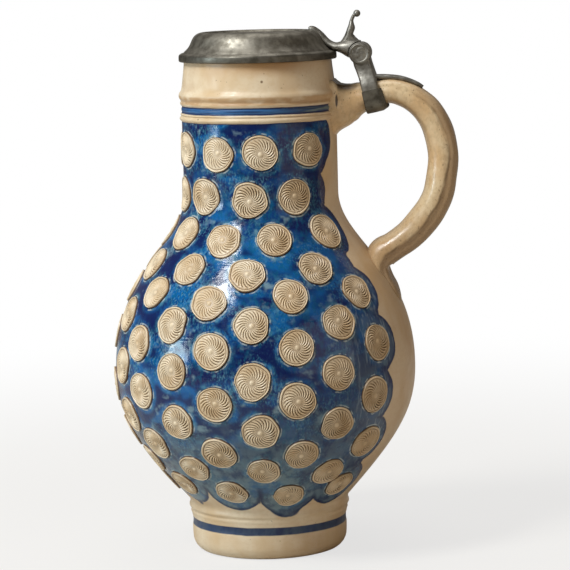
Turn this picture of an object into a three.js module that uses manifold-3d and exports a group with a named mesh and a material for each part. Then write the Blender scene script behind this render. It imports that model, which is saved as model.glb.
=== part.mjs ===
// Stoneware jug with a hinged pewter lid: a pear-shaped salt-glazed pot with staggered rows of round
// pressed rosettes, a pulled clay handle, and pewter mounts on the handle that carry the lid.
// Millimetres, +Z up. The flat underside of the foot lies on Z = 0 with its centre at the origin,
// and the handle stands towards +X, so Y = 0 is the plane of symmetry of everything but the rosettes.

import * as THREE from 'three';
import { mergeVertices } from 'three/addons/utils/BufferGeometryUtils.js';
import Module from 'manifold-3d';

const wasm = await Module();
wasm.setup();

// Foot and belly
const FOOT_RADIUS = 41.4;
const FOOT_EDGE_INSET = 4.4;
const FOOT_EDGE_HEIGHT = 6;
const FOOT_HEIGHT = 29;
const WAIST_RADIUS = 43.6;
const BELLY_RADIUS = 80.1;
const BELLY_HEIGHT = 98;
const SHOULDER_HEIGHT = 191;

// Neck and mouth
const NECK_RADIUS = 41;
const MOUTH_RADIUS = 39.2;
const RIM_HEIGHT = 263.3;
const RIM_ROUND = 1;
const NECK_RING_DROP = 19.8;
const NECK_RING_HEIGHT = RIM_HEIGHT - NECK_RING_DROP;
const NECK_RING_HALF_WIDTH = 4.5;
const NECK_RING_RELIEF = 1.3;

// Thickness of the clay
const WALL = 5;
const FLOOR_THICKNESS = 9;
const FLOOR_ROUND = 10;

// Shape of the belly's curve: how far along its span each end keeps its own direction
const WAIST_LEAN_OUT = 0.753;
const WAIST_LEAN_UP = 0.452;
const BELLY_UPRIGHT_BELOW = 0.343;
const BELLY_UPRIGHT_ABOVE = 0.573;
const NECK_UPRIGHT = 0.287;

// Pressed rosettes: each has the same patch of surface to itself, so rows close up where the belly is wide
const ROSETTE_RADIUS = 9.75;
const ROSETTE_RELIEF = 1.2;
const ROSETTE_PATCH_AREA = 590;
const ROSETTE_PITCH = THREE.MathUtils.degToRad(33.5);
const ROSETTE_FIELD_DROP = 13.4;
const ROSETTE_FIELD_TOP = NECK_RING_HEIGHT - ROSETTE_FIELD_DROP;
const ROSETTE_TOP_MARGIN = 5.2;
const ROSETTE_FOOT_MARGIN = 1.2;
const ROSETTE_FIRST_AZIMUTH = THREE.MathUtils.degToRad(13.5);
const ROSETTE_ROW_DRIFT = THREE.MathUtils.degToRad(0.45);
const ROSETTE_HANDLE_MARGIN = THREE.MathUtils.degToRad(34);

// Pulled handle
const HANDLE_WIDTH = 23;
const HANDLE_THICKNESS = 16;
const HANDLE_WAIST_THICKNESS = 12.7;
const HANDLE_REACH = 97;
const HANDLE_ROOT_DROP = 27.6;
const HANDLE_ROOT_LENGTH = 19.5;
const HANDLE_ROOT_THICKENING = 17;
const HANDLE_ROOT_WIDENING = 12;
const HANDLE_ARCH_RISE = 7.6;
const HANDLE_LOWER_HEIGHT = 150.5;
const HANDLE_ELBOW_REACH = 13.2;
const HANDLE_TAIL_LENGTH = 22;
const HANDLE_TAIL_WIDENING = 2.5;
const HANDLE_TAIL_WIDTH = 13;
const HANDLE_TAIL_THICKNESS = 2.6;
const HANDLE_TAIL_SINK = 1;

// Pewter lid
const LID_RADIUS = 41.8;
const LID_SKIRT_DEPTH = 2.3;
const LID_SKIRT_HEIGHT = 3.7;
const LID_LEDGE_WIDTH = 3;
const LID_PLATEAU_RADIUS = 29.6;
const LID_RISE = 15.2;
const LID_SINK = 1.1;
const LID_PLATE = 1.7;
const LID_SEAT_WIDTH = 6.4;

// Hinge
const HINGE_BEHIND_LID = 12.7;
const HINGE_ABOVE_SEAT = 0.3;
const MOVING_KNUCKLE_RADIUS = 5.3;
const CHEEK_RADIUS = 6;
const PIN_RADIUS = 1.6;
const MIDDLE_KNUCKLE_HALF = 2;
const MOVING_KNUCKLE_LENGTH = 3.7;
const CHEEK_LENGTH = 3.3;
const CAP_RADIUS = 5.3;
const CAP_THICKNESS = 1.2;

// Pewter on the handle
const BAND_LEAN = THREE.MathUtils.degToRad(12);
const BAND_WIDTH = 9.2;
const BAND_THICKNESS = 1.8;
const BAND_FLARE = 4.5;
const BAND_FOLD_HEIGHT = 3.6;
const BAND_CORNER = 2;
const SHANK_TOP_HALF = 4.6;
const SHANK_WAIST_INSET = 0.5;
const TANG_WIDTH = 10;
const TANG_THICKNESS = 2.9;
const TANG_TIP_WIDTH = 3.4;
const TANG_TIP_THICKNESS = 0.9;

// Thumbpiece
const THUMB_HEIGHT = 17;
const THUMB_WIDTH = 10;
const THUMB_KNOB_RADIUS = 1.9;

// Clearances
const JOINT_GAP = 0.3;
const PIN_GAP = 0.3;

// Facets
const POT_SIDES = 36;
const LID_SIDES = 48;
const ROSETTE_SIDES = 8;
const HINGE_SIDES = 24;
const BELLY_STEPS = 6;
const LOFT_STEPS_PER_STATION = 2;

const GLAZED_CLAY = new THREE.MeshStandardMaterial({ color: 0xcbb48f, roughness: 0.35, metalness: 0 });
const PEWTER = new THREE.MeshStandardMaterial({ color: 0x77756e, roughness: 0.42, metalness: 1 });

const ALONG_Y = new THREE.Vector3(0, 1, 0);

// Turns a closed geometry into a solid that can be joined and cut.
function solidOf(geometry) {
  const plain = geometry.clone();
  for (const name of Object.keys(plain.attributes)) {
    if (name !== 'position') plain.deleteAttribute(name);
  }
  const merged = mergeVertices(plain, 1e-4);
  return new wasm.Manifold(new wasm.Mesh({
    numProp: 3,
    vertProperties: new Float32Array(merged.attributes.position.array),
    triVerts: new Uint32Array(merged.index.array),
  }));
}

// Turns a solid back into a geometry.
function geometryOf(solid) {
  const { vertProperties, triVerts } = solid.getMesh();
  const geometry = new THREE.BufferGeometry();
  geometry.setAttribute('position', new THREE.BufferAttribute(new Float32Array(vertProperties), 3));
  geometry.setIndex(new THREE.BufferAttribute(new Uint32Array(triVerts), 1));
  geometry.computeVertexNormals();
  return geometry;
}

// Turns a profile of (radius, height) points about Z.
function revolve(profile, sides) {
  return new THREE.LatheGeometry(profile, sides).rotateX(Math.PI / 2);
}

// A round bar along Y about a point of the XZ plane, from one Y to another.
function barAlongY(radius, centre, fromY, toY, sides = HINGE_SIDES) {
  const bar = new THREE.CylinderGeometry(radius, radius, toY - fromY, sides);
  return solidOf(bar.translate(centre.x, (fromY + toY) / 2, centre.z));
}

// Skins a stack of rings, each with the same number of points running anticlockwise as seen from the
// last ring, and closes both ends. The last end may rise to a crown point.
function skin(rings, crown = null) {
  const count = rings[0].length;
  const positions = rings.flat().flatMap((p) => [p.x, p.y, p.z]);
  const index = [];
  for (let i = 0; i + 1 < rings.length; i += 1) {
    for (let j = 0; j < count; j += 1) {
      const next = (j + 1) % count;
      const [a, b, c, d] = [i * count + j, i * count + next, (i + 1) * count + next, (i + 1) * count + j];
      index.push(a, b, c, a, c, d);
    }
  }
  const last = (rings.length - 1) * count;
  for (const [start, turn] of [[0, -1], [last, 1]]) {
    const ring = start === 0 ? rings[0] : rings[rings.length - 1];
    const mean = ring.reduce((sum, p) => sum.add(p), new THREE.Vector3()).divideScalar(count);
    const middle = turn > 0 && crown ? crown : mean;
    const hub = positions.length / 3;
    positions.push(middle.x, middle.y, middle.z);
    for (let j = 0; j < count; j += 1) {
      const next = (j + 1) % count;
      if (turn > 0) index.push(hub, start + j, start + next);
      else index.push(hub, start + next, start + j);
    }
  }
  const geometry = new THREE.BufferGeometry();
  geometry.setAttribute('position', new THREE.Float32BufferAttribute(positions, 3));
  geometry.setIndex(index);
  return geometry;
}

// A run of stations in the XZ plane, each with a thickness across the run and a width along Y.
class Run {
  constructor(stations) {
    this.count = stations.length;
    this.middle = new THREE.CatmullRomCurve3(stations.map((s) => new THREE.Vector3(s.x, 0, s.z)));
    this.sizes = new THREE.CatmullRomCurve3(stations.map((s) => new THREE.Vector3(s.thick, s.wide, 0)));
  }

  // The middle, the direction of the back and the sizes at a station, which may lie between two stations.
  at(station) {
    const share = station / (this.count - 1);
    const along = this.middle.getTangent(share);
    const sizes = this.sizes.getPoint(share);
    return {
      point: this.middle.getPoint(share),
      back: new THREE.Vector3(-along.z, 0, along.x),
      thick: sizes.x,
      wide: sizes.y,
    };
  }

  // Skins an outline along the run, grown by a clearance all round.
  sweep(outline, grow = 0) {
    const steps = (this.count - 1) * LOFT_STEPS_PER_STATION;
    const rings = [];
    for (let i = 0; i <= steps; i += 1) {
      const { point, back, thick, wide } = this.at(i / LOFT_STEPS_PER_STATION);
      rings.push(outline.map(([across, out]) => point.clone()
        .addScaledVector(ALONG_Y, across * (wide / 2 + grow))
        .addScaledVector(back, out * (thick / 2 + grow))));
    }
    return solidOf(skin(rings));
  }
}

// Mirrors half an outline, given from the middle of the back to the middle of the inner side, into a
// whole one that runs anticlockwise.
function mirrored(half) {
  const left = half.slice(1, -1).map(([across, out]) => [-across, out]);
  return [...left, half[half.length - 1], ...half.slice(1, -1).reverse(), half[0]];
}

// A rounded bar's outline of unit half width and half thickness.
const ROUND_BAR = mirrored([[0, 1], [0.72, 0.86], [1, 0.3], [1, -0.3], [0.72, -0.86], [0, -1]]);

// The handle's outline: a shallow channel down its back between two ribs, a groove along each side
// under the rib, and a round inner face.
const HANDLE_OUTLINE = mirrored([
  [0, 0.93], [0.55, 1], [0.88, 0.9], [0.92, 0.56], [1, 0.25],
  [0.97, -0.3], [0.8, -0.72], [0.42, -0.95], [0, -1],
]);

// The pot's outer outline from the foot's edge to the rim, as points of (radius, height).
function potOutline() {
  const outline = new THREE.Path();
  outline.moveTo(FOOT_RADIUS - FOOT_EDGE_INSET, 0);
  outline.quadraticCurveTo(FOOT_RADIUS, 0, FOOT_RADIUS, FOOT_EDGE_HEIGHT);
  const foot = outline.getPoints(3);

  const belly = new THREE.CubicBezierCurve(
    new THREE.Vector2(WAIST_RADIUS, FOOT_HEIGHT),
    new THREE.Vector2(
      THREE.MathUtils.lerp(WAIST_RADIUS, BELLY_RADIUS, WAIST_LEAN_OUT),
      THREE.MathUtils.lerp(FOOT_HEIGHT, BELLY_HEIGHT, WAIST_LEAN_UP),
    ),
    new THREE.Vector2(BELLY_RADIUS, THREE.MathUtils.lerp(BELLY_HEIGHT, FOOT_HEIGHT, BELLY_UPRIGHT_BELOW)),
    new THREE.Vector2(BELLY_RADIUS, BELLY_HEIGHT),
  ).getPoints(BELLY_STEPS);

  const shoulder = new THREE.CubicBezierCurve(
    new THREE.Vector2(BELLY_RADIUS, BELLY_HEIGHT),
    new THREE.Vector2(BELLY_RADIUS, THREE.MathUtils.lerp(BELLY_HEIGHT, SHOULDER_HEIGHT, BELLY_UPRIGHT_ABOVE)),
    new THREE.Vector2(NECK_RADIUS, THREE.MathUtils.lerp(SHOULDER_HEIGHT, BELLY_HEIGHT, NECK_UPRIGHT)),
    new THREE.Vector2(NECK_RADIUS, SHOULDER_HEIGHT),
  ).getPoints(BELLY_STEPS + 2);

  const crest = NECK_RADIUS + NECK_RING_RELIEF;
  const neck = [
    [NECK_RADIUS, NECK_RING_HEIGHT - NECK_RING_HALF_WIDTH],
    [THREE.MathUtils.lerp(NECK_RADIUS, crest, 0.8), NECK_RING_HEIGHT - NECK_RING_HALF_WIDTH / 2],
    [crest, NECK_RING_HEIGHT],
    [THREE.MathUtils.lerp(NECK_RADIUS, crest, 0.6), NECK_RING_HEIGHT + NECK_RING_HALF_WIDTH / 2],
    [THREE.MathUtils.lerp(NECK_RADIUS, MOUTH_RADIUS, 0.25), NECK_RING_HEIGHT + NECK_RING_HALF_WIDTH],
    [MOUTH_RADIUS, THREE.MathUtils.lerp(NECK_RING_HEIGHT, RIM_HEIGHT, 0.75)],
    [MOUTH_RADIUS, RIM_HEIGHT - RIM_ROUND],
    [MOUTH_RADIUS - RIM_ROUND, RIM_HEIGHT],
  ].map(([radius, height]) => new THREE.Vector2(radius, height));

  return [...foot, ...belly, ...shoulder.slice(1), ...neck];
}

// Moves an outline sideways: outwards for a positive distance, and inwards for a negative one.
function offsetOutline(outline, distance) {
  return outline.map((point, i) => {
    const before = outline[Math.max(i - 1, 0)];
    const after = outline[Math.min(i + 1, outline.length - 1)];
    const along = after.clone().sub(before).normalize();
    return new THREE.Vector2(point.x + along.y * distance, point.y - along.x * distance);
  });
}

const POT_OUTLINE = potOutline();

// The pot's outer radius at a height.
function potRadius(height) {
  const above = POT_OUTLINE.findIndex((p) => p.y >= height);
  if (above < 1) return POT_OUTLINE[0].x;
  const [low, high] = [POT_OUTLINE[above - 1], POT_OUTLINE[above]];
  return THREE.MathUtils.mapLinear(height, low.y, high.y, low.x, high.x);
}

// The pot without its hollow, grown by a clearance.
function potBlank(grow) {
  const outline = offsetOutline(POT_OUTLINE, grow);
  const low = outline[0].y;
  const high = outline[outline.length - 1].y;
  return solidOf(revolve([new THREE.Vector2(0, low), ...outline, new THREE.Vector2(0, high)], POT_SIDES));
}

// The pot's hollow, from its floor up through the mouth.
function potHollow() {
  const bore = MOUTH_RADIUS - WALL;
  const inside = offsetOutline(POT_OUTLINE.filter((p) => p.y >= FOOT_HEIGHT && p.y <= SHOULDER_HEIGHT), -WALL)
    .filter((p) => p.y > FOOT_HEIGHT + WALL);
  const floorRadius = FOOT_RADIUS - WALL;
  const floor = new THREE.QuadraticBezierCurve(
    new THREE.Vector2(floorRadius - FLOOR_ROUND, FLOOR_THICKNESS),
    new THREE.Vector2(floorRadius, FLOOR_THICKNESS),
    new THREE.Vector2(floorRadius, FLOOR_THICKNESS + FLOOR_ROUND),
  ).getPoints(3);
  const profile = [
    new THREE.Vector2(0, FLOOR_THICKNESS),
    ...floor,
    ...inside,
    new THREE.Vector2(bore, NECK_RING_HEIGHT),
    new THREE.Vector2(bore, RIM_HEIGHT - RIM_ROUND),
    new THREE.Vector2(bore + 2 * RIM_ROUND, RIM_HEIGHT + RIM_ROUND),
    new THREE.Vector2(0, RIM_HEIGHT + RIM_ROUND),
  ];
  return solidOf(revolve(profile, POT_SIDES));
}

// The heights of the rows of rosettes, walked down the outline from the top row.
function rosetteRows() {
  const heights = [];
  let height = ROSETTE_FIELD_TOP - ROSETTE_TOP_MARGIN - ROSETTE_RADIUS;
  const lowest = FOOT_HEIGHT + ROSETTE_FOOT_MARGIN + ROSETTE_RADIUS * (BELLY_HEIGHT - FOOT_HEIGHT)
    / Math.hypot(BELLY_HEIGHT - FOOT_HEIGHT, BELLY_RADIUS - WAIST_RADIUS);
  while (height > lowest) {
    heights.push(height);
    let left = ROSETTE_PATCH_AREA;
    while (left > 0) {
      const radius = potRadius(height);
      const slope = potRadius(height - 1) - radius;
      left -= Math.hypot(1, slope) * radius * ROSETTE_PITCH;
      height -= 1;
    }
  }
  return heights;
}

// Every rosette's azimuth, from -Y towards +X, and height: all round but for a bare field at the handle.
function rosettePlaces() {
  const handle = Math.PI / 2;
  const places = [];
  rosetteRows().forEach((height, row) => {
    const stagger = row % 2 === 0 ? 0 : ROSETTE_PITCH / 2;
    const first = ROSETTE_FIRST_AZIMUTH + row * ROSETTE_ROW_DRIFT - stagger;
    const last = Math.floor((handle - ROSETTE_HANDLE_MARGIN - first) / ROSETTE_PITCH);
    const start = first + last * ROSETTE_PITCH;
    const end = handle + ROSETTE_HANDLE_MARGIN - 2 * Math.PI;
    for (let azimuth = start; azimuth > end; azimuth -= ROSETTE_PITCH) {
      places.push({ azimuth, height });
    }
  });
  return places;
}

// A point over the pot's surface, at an azimuth from -Y towards +X, a height and a distance out.
function overPot(azimuth, height, out) {
  const radius = potRadius(height);
  const slope = Math.atan2(potRadius(height - 1) - potRadius(height + 1), 2);
  const reach = radius + out * Math.cos(slope);
  return new THREE.Vector3(
    reach * Math.sin(azimuth),
    -reach * Math.cos(azimuth),
    height + out * Math.sin(slope),
  );
}

// A rosette: a low round boss that follows the surface, with its foot inside the wall.
function rosette({ azimuth, height }) {
  const radius = potRadius(height);
  const steepness = Math.cos(Math.atan2(potRadius(height - 1) - potRadius(height + 1), 2));
  const ring = (out) => Array.from({ length: ROSETTE_SIDES }, (_, k) => {
    const turn = 2 * Math.PI * k / ROSETTE_SIDES;
    const across = ROSETTE_RADIUS * Math.cos(turn) / radius;
    const up = ROSETTE_RADIUS * Math.sin(turn) * steepness;
    return overPot(azimuth + across, height + up, out);
  });
  return solidOf(skin([ring(-WALL / 2), ring(ROSETTE_RELIEF)], overPot(azimuth, height, ROSETTE_RELIEF)));
}

function stonewareBody() {
  const rosettes = wasm.Manifold.union(rosettePlaces().map(rosette));
  return potBlank(0).add(rosettes).subtract(potHollow());
}

// The handle's run: out of the neck, round the hand's space and down on to the belly, where its end is
// pressed flat against the pot.
function handleRun() {
  const { lerp } = THREE.MathUtils;
  const root = RIM_HEIGHT - HANDLE_ROOT_DROP;
  const low = HANDLE_LOWER_HEIGHT;
  const drop = root - low;
  const neck = NECK_RADIUS;
  const span = HANDLE_REACH - neck;
  const wide = HANDLE_WIDTH;
  // A station out of the neck: how far along the root, up the arch and into the thickening it is.
  const fromNeck = (along, up, spread, widening) => ({
    x: neck + HANDLE_ROOT_LENGTH * along,
    z: root + HANDLE_ARCH_RISE * up,
    thick: HANDLE_WAIST_THICKNESS + HANDLE_ROOT_THICKENING * spread,
    wide: wide + HANDLE_ROOT_WIDENING * widening,
  });
  // A station of the loop: how far out it stands, how far down it is and how thick, from waist to full.
  const onLoop = (out, down, full) => ({
    x: neck + span * out,
    z: root - drop * down,
    thick: lerp(HANDLE_WAIST_THICKNESS, HANDLE_THICKNESS, full),
    wide,
  });
  // A station of the tail: how far above the handle's end it is, how far out from the pot's wall, and
  // how far it has got from the handle's own section to the tip's.
  const onTail = (up, proud, tip) => {
    const height = low + HANDLE_TAIL_LENGTH * up;
    return {
      x: potRadius(height) + proud,
      z: height,
      thick: lerp(HANDLE_THICKNESS, HANDLE_TAIL_THICKNESS, tip),
      wide: lerp(wide + HANDLE_TAIL_WIDENING, HANDLE_TAIL_WIDTH, Math.max(0, (tip - 0.3) / 0.7)),
    };
  };
  return new Run([
    fromNeck(-0.26, 0.09, 1, 1),
    fromNeck(0.03, 0.09, 0.83, 0.75),
    fromNeck(0.26, 0.18, 0.57, 0.38),
    fromNeck(0.62, 0.42, 0.28, 0.08),
    fromNeck(1, 0.75, 0, 0),
    { ...fromNeck(0, 1, 0, 0), x: neck + span * 0.49 },
    { ...fromNeck(0, 0.86, 0.04, 0), x: neck + span * 0.634 },
    onLoop(0.768, -0.026, 0.59),
    onLoop(0.893, 0.063, 0.82),
    onLoop(0.982, 0.202, 1),
    onLoop(1, 0.343, 1),
    onLoop(0.964, 0.495, 1.12),
    onLoop(0.854, 0.642, 1.24),
    onLoop(0.7, 0.775, 1.18),
    onTail(0.45, HANDLE_ELBOW_REACH, 0.1),
    onTail(0.31, HANDLE_ELBOW_REACH * 0.53, 0.075),
    onTail(0, -HANDLE_TAIL_SINK * 0.4, 0.3),
    onTail(-0.3, -HANDLE_TAIL_SINK, 0.49),
    onTail(-0.66, -HANDLE_TAIL_SINK * 0.4, 0.67),
    onTail(-1, -HANDLE_TAIL_SINK * 0.7, 1),
  ]);
}

const HANDLE = handleRun();

// Where the band grips the handle and where the tang ends, in steps from the first of its stations
const BAND_STEPS = 4;
const TANG_END_STEPS = 6.7;

function stonewareHandle() {
  return HANDLE.sweep(HANDLE_OUTLINE).subtract(potBlank(JOINT_GAP));
}

const LID_SEAT = RIM_HEIGHT + JOINT_GAP;
const HINGE = new THREE.Vector3(LID_RADIUS + HINGE_BEHIND_LID, 0, LID_SEAT + HINGE_ABOVE_SEAT);

// The places along Y where the hinge's five knuckles start and end, on one side.
const MOVING_FROM = MIDDLE_KNUCKLE_HALF + JOINT_GAP;
const MOVING_TO = MOVING_FROM + MOVING_KNUCKLE_LENGTH;
const CHEEK_FROM = MOVING_TO + JOINT_GAP;
const CHEEK_TO = CHEEK_FROM + CHEEK_LENGTH;
const CAP_FROM = CHEEK_TO + JOINT_GAP;

// A bar along Y about the hinge's axis, with its copy on the other side of the handle's plane.
function hingePair(radius, fromY, toY) {
  return barAlongY(radius, HINGE, fromY, toY).add(barAlongY(radius, HINGE, -toY, -fromY));
}

// The way that the hinge's pin takes through every knuckle.
function pinWay() {
  return barAlongY(PIN_RADIUS + PIN_GAP, HINGE, -CAP_FROM, CAP_FROM);
}

// The lid's profile: a short skirt round the mouth, a ledge, a hollow-sided rise and a sunk plateau.
function lidProfile(grow = 0) {
  const skirtLow = LID_SEAT - LID_SKIRT_DEPTH;
  const ledge = skirtLow + LID_SKIRT_HEIGHT + 0.5;
  const top = skirtLow + LID_RISE;
  const riseFoot = LID_RADIUS - LID_LEDGE_WIDTH;
  const rise = new THREE.CubicBezierCurve(
    new THREE.Vector2(riseFoot, ledge + 0.3),
    new THREE.Vector2(riseFoot - 3.5, ledge + 4.3),
    new THREE.Vector2(LID_PLATEAU_RADIUS + 3, top - 2.2),
    new THREE.Vector2(LID_PLATEAU_RADIUS, top),
  ).getPoints(5);
  const outside = [
    new THREE.Vector2(LID_RADIUS - 0.3, skirtLow),
    new THREE.Vector2(LID_RADIUS, skirtLow + 1),
    new THREE.Vector2(LID_RADIUS, skirtLow + LID_SKIRT_HEIGHT - 0.6),
    new THREE.Vector2(LID_RADIUS - 0.9, ledge),
    ...rise,
    new THREE.Vector2(LID_PLATEAU_RADIUS - 2, top - LID_SINK),
    new THREE.Vector2(0, top - LID_SINK),
  ];
  if (grow > 0) {
    const grown = offsetOutline(outside.slice(0, -1), grow);
    return [new THREE.Vector2(0, skirtLow), ...grown, new THREE.Vector2(0, top - LID_SINK + grow)];
  }
  const mouth = MOUTH_RADIUS + 3 * JOINT_GAP;
  const inside = [
    new THREE.Vector2(0, top - LID_SINK - LID_PLATE),
    new THREE.Vector2(LID_PLATEAU_RADIUS - 1.5, top - LID_SINK - LID_PLATE),
    new THREE.Vector2(LID_PLATEAU_RADIUS + 2, top - LID_RISE / 2),
    new THREE.Vector2(mouth - LID_SEAT_WIDTH, LID_SEAT),
    new THREE.Vector2(mouth, LID_SEAT),
    new THREE.Vector2(mouth, skirtLow),
  ];
  return [...inside, ...outside];
}

function lidShell() {
  return solidOf(revolve(lidProfile(), LID_SIDES));
}

// The lever's run: a scrolled nose on the lid's dome, a tongue down its side, a saddle and the hinge block.
function leverRun() {
  const top = LID_SEAT - LID_SKIRT_DEPTH + LID_RISE;
  const ledge = LID_SEAT - LID_SKIRT_DEPTH + LID_SKIRT_HEIGHT;
  return new Run([
    { x: LID_PLATEAU_RADIUS - 2.2, z: top + 0.4, thick: 2, wide: 6.6 },
    { x: LID_PLATEAU_RADIUS - 0.4, z: top + 0.3, thick: 3.6, wide: 7.6 },
    { x: LID_PLATEAU_RADIUS + 3.9, z: top - 2.8, thick: 4, wide: 8.6 },
    { x: LID_PLATEAU_RADIUS + 7.6, z: top - 6.4, thick: 4, wide: 10 },
    { x: LID_RADIUS - 0.9, z: ledge + 2.3, thick: 3.5, wide: 12.5 },
    { x: HINGE.x - 9.3, z: HINGE.z + 2.6, thick: 5.2, wide: 2 * CHEEK_TO - 3 },
    { x: HINGE.x - 5, z: HINGE.z + 2.2, thick: 9.4, wide: 2 * CHEEK_TO },
    { x: HINGE.x - 0.6, z: HINGE.z + 2.4, thick: 10.5, wide: 2 * CHEEK_TO },
  ]);
}

const LEVER = leverRun();

function lidLever() {
  const clear = 2 * JOINT_GAP;
  const cheeks = hingePair(CHEEK_RADIUS + clear, MOVING_TO, CAP_FROM + CAP_THICKNESS);
  const middle = barAlongY(CHEEK_RADIUS + clear, HINGE, -MOVING_FROM, MOVING_FROM);
  const knuckles = hingePair(MOVING_KNUCKLE_RADIUS, MOVING_FROM, MOVING_TO);
  return LEVER.sweep(ROUND_BAR)
    .subtract(solidOf(revolve(lidProfile(JOINT_GAP), LID_SIDES)))
    .subtract(cheeks)
    .subtract(middle)
    .add(knuckles)
    .subtract(pinWay());
}

// The thumbpiece: a thin curved blade with two small steps on its back and a knob on top.
function thumbpiece() {
  const foot = new THREE.Vector3(HINGE.x - 4.4, 0, HINGE.z + 5.6);
  const blade = new Run([
    { x: foot.x, z: foot.z, thick: 5.6, wide: THUMB_WIDTH },
    { x: foot.x + 0.2, z: foot.z + THUMB_HEIGHT * 0.15, thick: 4.4, wide: THUMB_WIDTH },
    { x: foot.x + 0.2, z: foot.z + THUMB_HEIGHT * 0.28, thick: 2.2, wide: THUMB_WIDTH * 0.9 },
    { x: foot.x + 1, z: foot.z + THUMB_HEIGHT * 0.44, thick: 2.6, wide: THUMB_WIDTH * 0.85 },
    { x: foot.x + 1, z: foot.z + THUMB_HEIGHT * 0.56, thick: 1.5, wide: THUMB_WIDTH * 0.7 },
    { x: foot.x + 1.5, z: foot.z + THUMB_HEIGHT * 0.7, thick: 1.5, wide: THUMB_WIDTH * 0.6 },
    { x: foot.x + 2.8, z: foot.z + THUMB_HEIGHT - 2 * THUMB_KNOB_RADIUS, thick: 2, wide: THUMB_WIDTH * 0.45 },
  ]);
  const knob = new THREE.SphereGeometry(THUMB_KNOB_RADIUS, 12, 8)
    .translate(foot.x + 3.2, 0, foot.z + THUMB_HEIGHT - THUMB_KNOB_RADIUS);
  const cheek = barAlongY(CHEEK_RADIUS + 2 * JOINT_GAP, HINGE, -CAP_FROM, CAP_FROM);
  return blade.sweep(ROUND_BAR)
    .add(solidOf(knob))
    .subtract(LEVER.sweep(ROUND_BAR, JOINT_GAP))
    .subtract(cheek);
}

// The pewter that grips the handle stands square to it, leaning back towards the lid by BAND_LEAN.
const GRIP = HANDLE.at(BAND_STEPS);
const GRIP_ALONG = new THREE.Vector3(Math.cos(BAND_LEAN), 0, Math.sin(BAND_LEAN));
const GRIP_UP = new THREE.Vector3(-Math.sin(BAND_LEAN), 0, Math.cos(BAND_LEAN));

// A point beside the grip's middle: along the handle, across it and up.
function atGrip(along, across, up) {
  return GRIP.point.clone()
    .addScaledVector(GRIP_ALONG, along)
    .addScaledVector(ALONG_Y, across)
    .addScaledVector(GRIP_UP, up);
}

const BAND_HALF_SPAN = HANDLE_WIDTH / 2 + JOINT_GAP + BAND_THICKNESS;

// The band: a strip bent round the sides and underside of the handle, with a bevelled edge that widens
// towards the bottom on the side away from the lid.
function handleBand() {
  const low = -(GRIP.thick / 2 + 2 * JOINT_GAP + BAND_THICKNESS);
  const outline = (inset) => [
    [-BAND_HALF_SPAN + inset, BAND_FOLD_HEIGHT],
    [-BAND_HALF_SPAN + inset, low + BAND_CORNER],
    [-BAND_HALF_SPAN + BAND_CORNER + inset, low + inset],
    [BAND_HALF_SPAN - BAND_CORNER - inset, low + inset],
    [BAND_HALF_SPAN - inset, low + BAND_CORNER],
    [BAND_HALF_SPAN - inset, BAND_FOLD_HEIGHT],
  ];
  const flare = (up) => BAND_FLARE * (BAND_FOLD_HEIGHT - up) / (BAND_FOLD_HEIGHT - low);
  const half = BAND_WIDTH / 2;
  const bevel = BAND_THICKNESS * 0.6;
  const rings = [
    outline(0).map(([across, up]) => atGrip(-half, across, up)),
    outline(0).map(([across, up]) => atGrip(half, across, up)),
    outline(bevel).map(([across, up]) => atGrip(half + JOINT_GAP + flare(up), across, up)),
  ];
  return solidOf(skin(rings)).subtract(HANDLE.sweep(HANDLE_OUTLINE, JOINT_GAP));
}

// The shank's block, grown by a clearance: a saddle as wide as the band that narrows up to the hinge.
function shankBlock(grow = 0) {
  const toHinge = HINGE.clone().sub(GRIP.point);
  const hingeAlong = toHinge.dot(GRIP_ALONG);
  const hingeUp = toHinge.dot(GRIP_UP);
  const half = BAND_WIDTH / 2;
  const lowest = { up: BAND_FOLD_HEIGHT + JOINT_GAP, from: -half, to: half, across: BAND_HALF_SPAN };
  const waist = {
    up: hingeUp * 0.45,
    from: -half,
    to: half - SHANK_WAIST_INSET,
    across: THREE.MathUtils.lerp(BAND_HALF_SPAN, CHEEK_TO, 0.5),
  };
  const [from, to] = [hingeAlong - SHANK_TOP_HALF, hingeAlong + SHANK_TOP_HALF];
  const levels = [
    lowest,
    waist,
    { up: hingeUp - CHEEK_RADIUS, from, to, across: CHEEK_TO },
    { up: hingeUp - CHEEK_RADIUS / 3, from, to, across: CHEEK_TO },
  ];
  const rings = levels.map((level) => [
    atGrip(level.from - grow, -level.across - grow, level.up),
    atGrip(level.to + grow, -level.across - grow, level.up),
    atGrip(level.to + grow, level.across + grow, level.up),
    atGrip(level.from - grow, level.across + grow, level.up),
  ]);
  return solidOf(skin(rings));
}

function hingeShank() {
  const clear = 2 * JOINT_GAP;
  const slots = hingePair(MOVING_KNUCKLE_RADIUS + clear, MIDDLE_KNUCKLE_HALF, CHEEK_FROM);
  return shankBlock()
    .add(hingePair(CHEEK_RADIUS, CHEEK_FROM, CHEEK_TO))
    .add(barAlongY(CHEEK_RADIUS, HINGE, -MIDDLE_KNUCKLE_HALF, MIDDLE_KNUCKLE_HALF))
    .subtract(slots)
    .subtract(pinWay())
    .subtract(HANDLE.sweep(HANDLE_OUTLINE, JOINT_GAP));
}

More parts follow.
